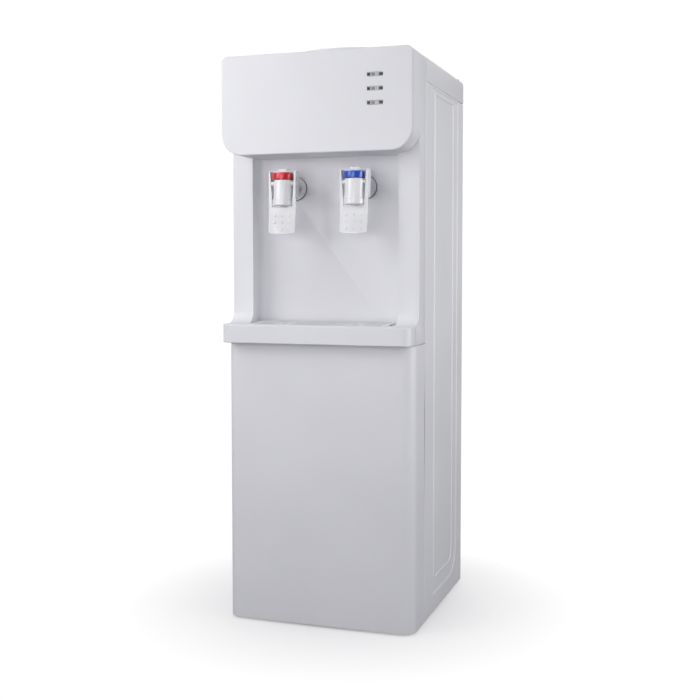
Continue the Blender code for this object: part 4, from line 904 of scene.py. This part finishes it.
# %% Steel sides
# Each section is a list of insets from its outline and of depths, as shares of the pressing.
STEP_SECTION = (
    (-0.0003, 0.0),
    (0.0, 0.0),
    (0.0009, 0.08),
    (0.0021, 0.5),
    (0.0033, 0.92),
    (0.0042, 1.0),
    (0.0046, 1.0),
)
BEAD_SECTION = (
    (-0.0003, 1.0),
    (0.0, 1.0),
    (0.0008, 0.86),
    (0.0018, 0.40),
    (0.0028, 0.10),
    (0.0038, 0.0),
    (0.0048, 0.10),
    (0.0058, 0.40),
    (0.0068, 0.86),
    (0.0076, 1.0),
    (0.0080, 1.0),
)


def side_sheet(side, rim=0.0012, seam=0.0008, press=0.0016, thick=0.0012, flange=0.012):
    node = "right_side_panel" if side > 0 else "left_side_panel"
    y0, z0, y1, z1 = low(node).y, low(node).z, high(node).y, high(node).z

    def loop(x, corner_low, corner_high, radii, inset=0.0):
        points = round_box(corner_low, corner_high, radii, inset, 8)
        return [(side * x, y, z) for y, z in points]

    sheet = (y0 + seam, z0), (y1, z1 - seam), [0.0015] * 4
    loops = [
        loop(HALF_WIDTH - thick, *sheet, thick),
        loop(HALF_WIDTH - flange, *sheet, thick),
        loop(HALF_WIDTH - flange, *sheet),
    ]
    for inset, drop in reversed(rim_steps(rim)):
        loops.append(loop(HALF_WIDTH - drop, *sheet, inset))
    # Lower front and upper rear corners of the field, then of the bead inside it. The corner radii run
    # from the lower front one round by the rear. Both tops lie close under the deck.
    field_low, field_high = (y0 + 0.0445, z0 + 0.030), (y1 - 0.040, z1 - 0.0025)
    bead_low = (field_low[0] + 0.017, field_low[1] + 0.025)
    bead_high = (field_high[0] - 0.032, field_high[1] - 0.0056)
    field_turns = (0.020, 0.055, 0.004, 0.004)
    bead_turns = (0.012, 0.030, 0.004, 0.004)
    for corner_low, corner_high, turns, section in (
        (field_low, field_high, field_turns, STEP_SECTION),
        (bead_low, bead_high, bead_turns, BEAD_SECTION),
    ):
        for inset, fall in section:
            loops.append(loop(HALF_WIDTH - fall * press, corner_low, corner_high, turns, inset))
    return even_shading(put(f"{node}_sheet", skin(f"{node}_sheet", loops), node))


for side in (-1, 1):
    print("side sheet faces:", len(side_sheet(side).data.polygons))

# %% [markdown]
# ## The bottle collar
# The collar steadies the bottle's shoulder. It is a turned shape, so one profile of radius and height is
# enough. Its rim stands just high enough to show over the head.


# %% Bottle collar
def collar(width=0.038, turn=0.0035):
    """width is from the bore to the outside, and turn rounds the crown's outer edge."""
    base, top = low("bottle_collar").z, high("bottle_collar").z
    outer = high("bottle_collar").x
    bore = outer - width
    crown = corner_arc((outer - 0.004, top - turn), turn, 0, 90, 5)
    profile = [
        (bore + 0.002, base),
        (outer - 0.001, base),
        (outer, base + 0.001),
        (outer, base + 0.004),
        *crown,
        (outer - 0.010, top),
        (outer - 0.015, top - 0.003),
        (bore + 0.006, top - 0.012),
        (bore + 0.001, top - 0.016),
        (bore, base + 0.003),
    ]
    mesh = spun("collar", profile, (0.0, middle("bottle_collar")[1]), 120)
    piece = put("collar", mesh, "bottle_collar")
    return even_shading(piece, 50.0)


print("collar faces:", len(collar().data.polygons))

# %% [markdown]
# ## Small things on the taps
# Nine low bumps give a wet cup some grip on each paddle. A thin rubber washer seals each escutcheon
# against the wall; it is black, and its rim past the escutcheon is a painted shade line for the shade on the
# escutcheon's edge and the shadow it casts. A bar closes the lever's window at the top, and the barrel is
# thicker round its foot.


# %% Paddle bumps, window bars, washers and skirts
RING_RADIUS = 0.0172
FRAME_AHEAD = 0.006  # from the ring's axis forward to the front of the lever's frame
PADDLE_DROP = 0.009  # from the nozzle down to the line where the paddle starts to lean
PADDLE_LEAN = math.radians(6.5)
HALF_PADDLE = 0.00125


def lever_front(side):
    return low(f"{side}_ring").y + RING_RADIUS - FRAME_AHEAD


def paddle_bumps(side, across=0.0130, along=0.0118, start=0.0055, lift=0.00120):
    """across and along are the steps between bumps. The first row lies start below the lean's line."""
    lever = f"{side}_lever"
    lean = PADDLE_LEAN
    down = Vector((0.0, -math.sin(lean), -math.cos(lean)))
    facing = Vector((0.0, -math.cos(lean), math.sin(lean)))
    hinge_z = low(f"{side}_tap_body").z - PADDLE_DROP
    hinge = Vector((middle(lever)[0], lever_front(side) + HALF_PADDLE, hinge_z))
    first = hinge + facing * lift + down * start + Vector((-across, 0.0, 0.0))
    bump = button(first, radius=0.0022, height=0.0008, facing=facing, segments=12)
    step = down * along
    mesh = in_rows(f"{side}_bumps", bump, finishes["tap_white"], 3, (across, 0.0, 0.0), 3, step)
    added(f"{side}_paddle_bumps", mesh, body_of[lever], "tap_white")


def lever_rim(side, thick=0.0023, tall=0.0016, turn=0.0005, inside=0.0008):
    """The bar that closes the top of the lever's window."""
    lever = f"{side}_lever"
    front = lever_front(side)
    rear = front + thick
    top = high(lever).z
    corner_low = (low(lever).x + inside, top - tall)
    corner_high = (high(lever).x - inside, top)
    loops = []
    for inset, y in ((turn, front), (0.0, front + turn), (0.0, rear - turn), (turn, rear)):
        points = round_box(corner_low, corner_high, [0.0006] * 4, inset, 3)
        loops.append([(x, y, z) for x, z in points])
    mesh = skin(f"{side}_lever_rim", loops)
    even_shading(added(f"{side}_lever_rim", mesh, body_of[lever], "tap_white"))


def painted_shade_washer(side, bore=0.010, past=0.0007, thick=0.0011, gap=0.0003):
    """A black washer that reaches past the escutcheon as a painted shade line, drawn lying down and then
    turned to face forward.
    """
    plate = f"{side}_escutcheon"
    centre_x, _, centre_z = middle(plate)
    outer = high(plate).x - centre_x + past
    profile = [(bore, 0.0), (outer, 0.0), (outer, thick), (bore, thick)]
    mesh = spun("washer", profile, (0.0, 0.0), 48)
    seat = Matrix.Translation((centre_x, high(plate).y + gap, centre_z))
    mesh.transform(seat @ Matrix.Rotation(math.pi / 2, 4, "X"))
    # Black, so that the rim showing past the escutcheon paints the shade on its edge and its shadow on the
    # wall.
    mesh.materials.append(finishes["rubber"])
    even_shading(added(f"{side}_painted_shade_washer", mesh, body_of[plate], "rubber"))


def barrel_skirt(side):
    """The thicker band round the barrel's foot."""
    ring = f"{side}_ring"
    centre = middle(ring)[:2]
    foot = low(f"{side}_tap_body").z + 0.0018
    outer = high(ring).x - centre[0] + 0.0003
    profile = [
        (outer - 0.0030, foot),
        (outer - 0.0010, foot + 0.0002),
        (outer - 0.0002, foot + 0.0010),
        (outer, foot + 0.0022),
        (outer - 0.0002, foot + 0.0074),
        (outer - 0.0008, foot + 0.0080),
        (outer - 0.0030, foot + 0.0082),
    ]
    mesh = spun("skirt", profile, centre, 64)
    even_shading(added(f"{side}_barrel_skirt", mesh, body_of[ring], "tap_white"))


for side in ("hot", "cold"):
    paddle_bumps(side)
    lever_rim(side)
    painted_shade_washer(side)
    barrel_skirt(side)
print("paddle bumps, window bars, washers and skirts made")

# %% [markdown]
# ## The back
# The condenser is a folded tube with thin upright wires welded to both faces, which give it most of its
# area. A row of screws holds each side of the rear panel.


# %% Condenser wires and screws
def wire(x, y, low_z, high_z, radius=0.0007):
    bm = bmesh.new()
    add_column(bm, circle((x, y), radius, 6), low_z, high_z)
    return mesh_from(bm, "wire", flat_join=False)


def condenser_wires(pitch=0.0098, tube=0.0028, gap=0.0005, margin=0.010, right=0.076, foot=0.272, top=0.846):
    """Two layers of wires, one on each face of the folded tube, whose radius is tube."""
    left = low("condenser").x + margin
    columns = int((right - left) / pitch)
    offset = tube + gap
    first = wire(left, middle("condenser")[1] - offset, foot, top)
    steps = (pitch, 0.0, 0.0), (0.0, 2 * offset, 0.0)
    mesh = in_rows("wires", first, finishes["black_paint"], columns, steps[0], 2, steps[1])
    added("condenser_wires", mesh, body_of["condenser"], "black_paint")
    return columns


def rear_screws(inset=0.0225, thick=0.0012, foot=0.022, head=0.030, count=5):
    """inset is from the case's side. foot and head are from the panel's ends."""
    sheet_y = low("rear_panel").y + thick
    first = (-HALF_WIDTH + inset, sheet_y, low("rear_panel").z + foot)
    rearward = (0.0, 1.0, 0.0)
    screw = button(first, radius=0.0038, height=0.0022, facing=rearward, segments=16, dish=0.7)
    across = (-2 * first[0], 0.0, 0.0)
    rise = (0.0, 0.0, (high("rear_panel").z - first[2] - head) / (count - 1))
    mesh = in_rows("rear_screws", screw, finishes["stainless"], 2, across, count, rise)
    added("rear_screws", mesh, body_of["rear_panel"], "stainless")


print("condenser wires:", 2 * condenser_wires())
rear_screws()

# %% [markdown]
# ## Floor, light and camera
# A white appliance on white reads by its shading alone, so one large soft light stands high on the left of
# the front and everything else only fills. The floor is pale paper that brightens with distance until it
# meets the backdrop. The brightness that the eye sees there doesn't light the object.


# %% Floor
def paper_floor(radius=12.0, near=0.0, far=0.42, glow=1.02):
    """For the eye, paper that fades to white from near to far. For other rays, a dull grey."""
    bm = bmesh.new()
    bmesh.ops.create_circle(bm, cap_ends=True, radius=radius, segments=96)
    mesh = bpy.data.meshes.new("floor")
    bm.to_mesh(mesh)
    bm.free()
    floor = placed("floor", mesh)
    finish = Finish("floor_paper", (0.86, 0.86, 0.87), 0.75)
    white = {"Color": (1.0, 1.0, 1.0, 1.0), "Strength": glow}
    shown = finish.node("ShaderNodeEmission", None, white)
    reach = finish.node("ShaderNodeVectorMath", {"operation": "LENGTH"}, {0: finish.place()}, "Value")
    seen = finish.node("ShaderNodeLightPath", output="Is Camera Ray")
    shade = finish.node("ShaderNodeBsdfDiffuse", None, {"Color": (0.30, 0.30, 0.32, 1.0)})
    plain = Value(finish, finish.shader.outputs[0])
    paper = finish.node("ShaderNodeMixShader", None, {0: finish.ramp(reach, near, far), 1: plain, 2: shown})
    joined = finish.node("ShaderNodeMixShader", None, {0: seen, 1: shade, 2: paper})
    output = finish.tree.nodes["Material Output"]
    finish.tree.links.new(joined.socket, output.inputs["Surface"])
    mesh.materials.append(finish.material)


def studio_air(fill=0.50, glow=1.02, low_share=0.25, high_share=1.05):
    """Even white for the eye. For the object, soft air that is brighter overhead than near the floor."""
    world = bpy.data.worlds.new("studio")
    world.use_nodes = True
    tree = world.node_tree
    dim = tree.nodes["Background"]
    dim.inputs["Color"].default_value = (0.95, 0.96, 1.0, 1.0)
    way = tree.nodes.new("ShaderNodeTexCoord")
    split = tree.nodes.new("ShaderNodeSeparateXYZ")
    lift = tree.nodes.new("ShaderNodeMapRange")
    for index, value in enumerate((-0.25, 0.75, low_share * fill, high_share * fill), 1):
        lift.inputs[index].default_value = value
    tree.links.new(way.outputs["Generated"], split.inputs[0])
    tree.links.new(split.outputs["Z"], lift.inputs[0])
    tree.links.new(lift.outputs[0], dim.inputs["Strength"])
    bright = tree.nodes.new("ShaderNodeBackground")
    bright.inputs["Color"].default_value = (1.0, 1.0, 1.0, 1.0)
    bright.inputs["Strength"].default_value = glow
    path = tree.nodes.new("ShaderNodeLightPath")
    both = tree.nodes.new("ShaderNodeMixShader")
    tree.links.new(path.outputs["Is Camera Ray"], both.inputs[0])
    tree.links.new(dim.outputs[0], both.inputs[1])
    tree.links.new(bright.outputs[0], both.inputs[2])
    tree.links.new(both.outputs[0], tree.nodes["World Output"].inputs["Surface"])
    bpy.context.scene.world = world
    bpy.context.scene.view_settings.view_transform = "Standard"


paper_floor()
studio_air()


# %% Lights
def softbox(name, place, target, size, power, spread=180.0):
    """A rectangular lamp that faces its target. The power is in watts and the spread in degrees."""
    lamp = bpy.data.lights.new(name, "AREA")
    lamp.shape = "RECTANGLE"
    lamp.size, lamp.size_y = size
    lamp.energy = power
    lamp.spread = math.radians(spread)
    made = bpy.data.objects.new(name, lamp)
    made.location = place
    made.rotation_euler = (Vector(target) - Vector(place)).to_track_quat("-Z", "Y").to_euler()
    bpy.context.scene.collection.objects.link(made)


softbox("key", (-1.00, -1.05, 1.15), (0.0, 0.0, 0.90), (0.9, 0.9), 5.7, 130.0)
softbox("front_fill", (-0.10, -2.30, 0.70), (0.0, 0.0, 0.75), (1.1, 0.9), 2.9, 80.0)
softbox("side_fill", (1.80, -0.10, 0.85), (0.0, 0.0, 0.68), (0.8, 1.0), 3.6, 80.0)
softbox("top", (0.0, 0.3, 2.6), (0.0, 0.0, 0.9), (1.2, 1.2), 1.0)
softbox("rear_fill", (-0.6, 2.4, 1.7), (0.0, 0.0, 0.6), (1.4, 1.4), 9.0)
print("lights:", len(bpy.data.lights))


# %% Camera
def stand_camera():
    """Chest height, a little right of the front, turned back to the dispenser and tipped slightly down."""
    lens = bpy.data.cameras.new("camera")
    lens.lens = 55.86
    lens.sensor_width = 36.0
    lens.shift_y = -0.0357
    made = bpy.data.objects.new("camera", lens)
    made.location = (0.6283, -1.8539, 0.6109)
    turn, tip = 0.3256, 0.0547
    ahead = Vector(
        (-math.sin(turn) * math.cos(tip), math.cos(turn) * math.cos(tip), -math.sin(tip))
    )
    made.rotation_euler = ahead.to_track_quat("-Z", "Y").to_euler()
    bpy.context.scene.collection.objects.link(made)
    bpy.context.scene.camera = made


stand_camera()
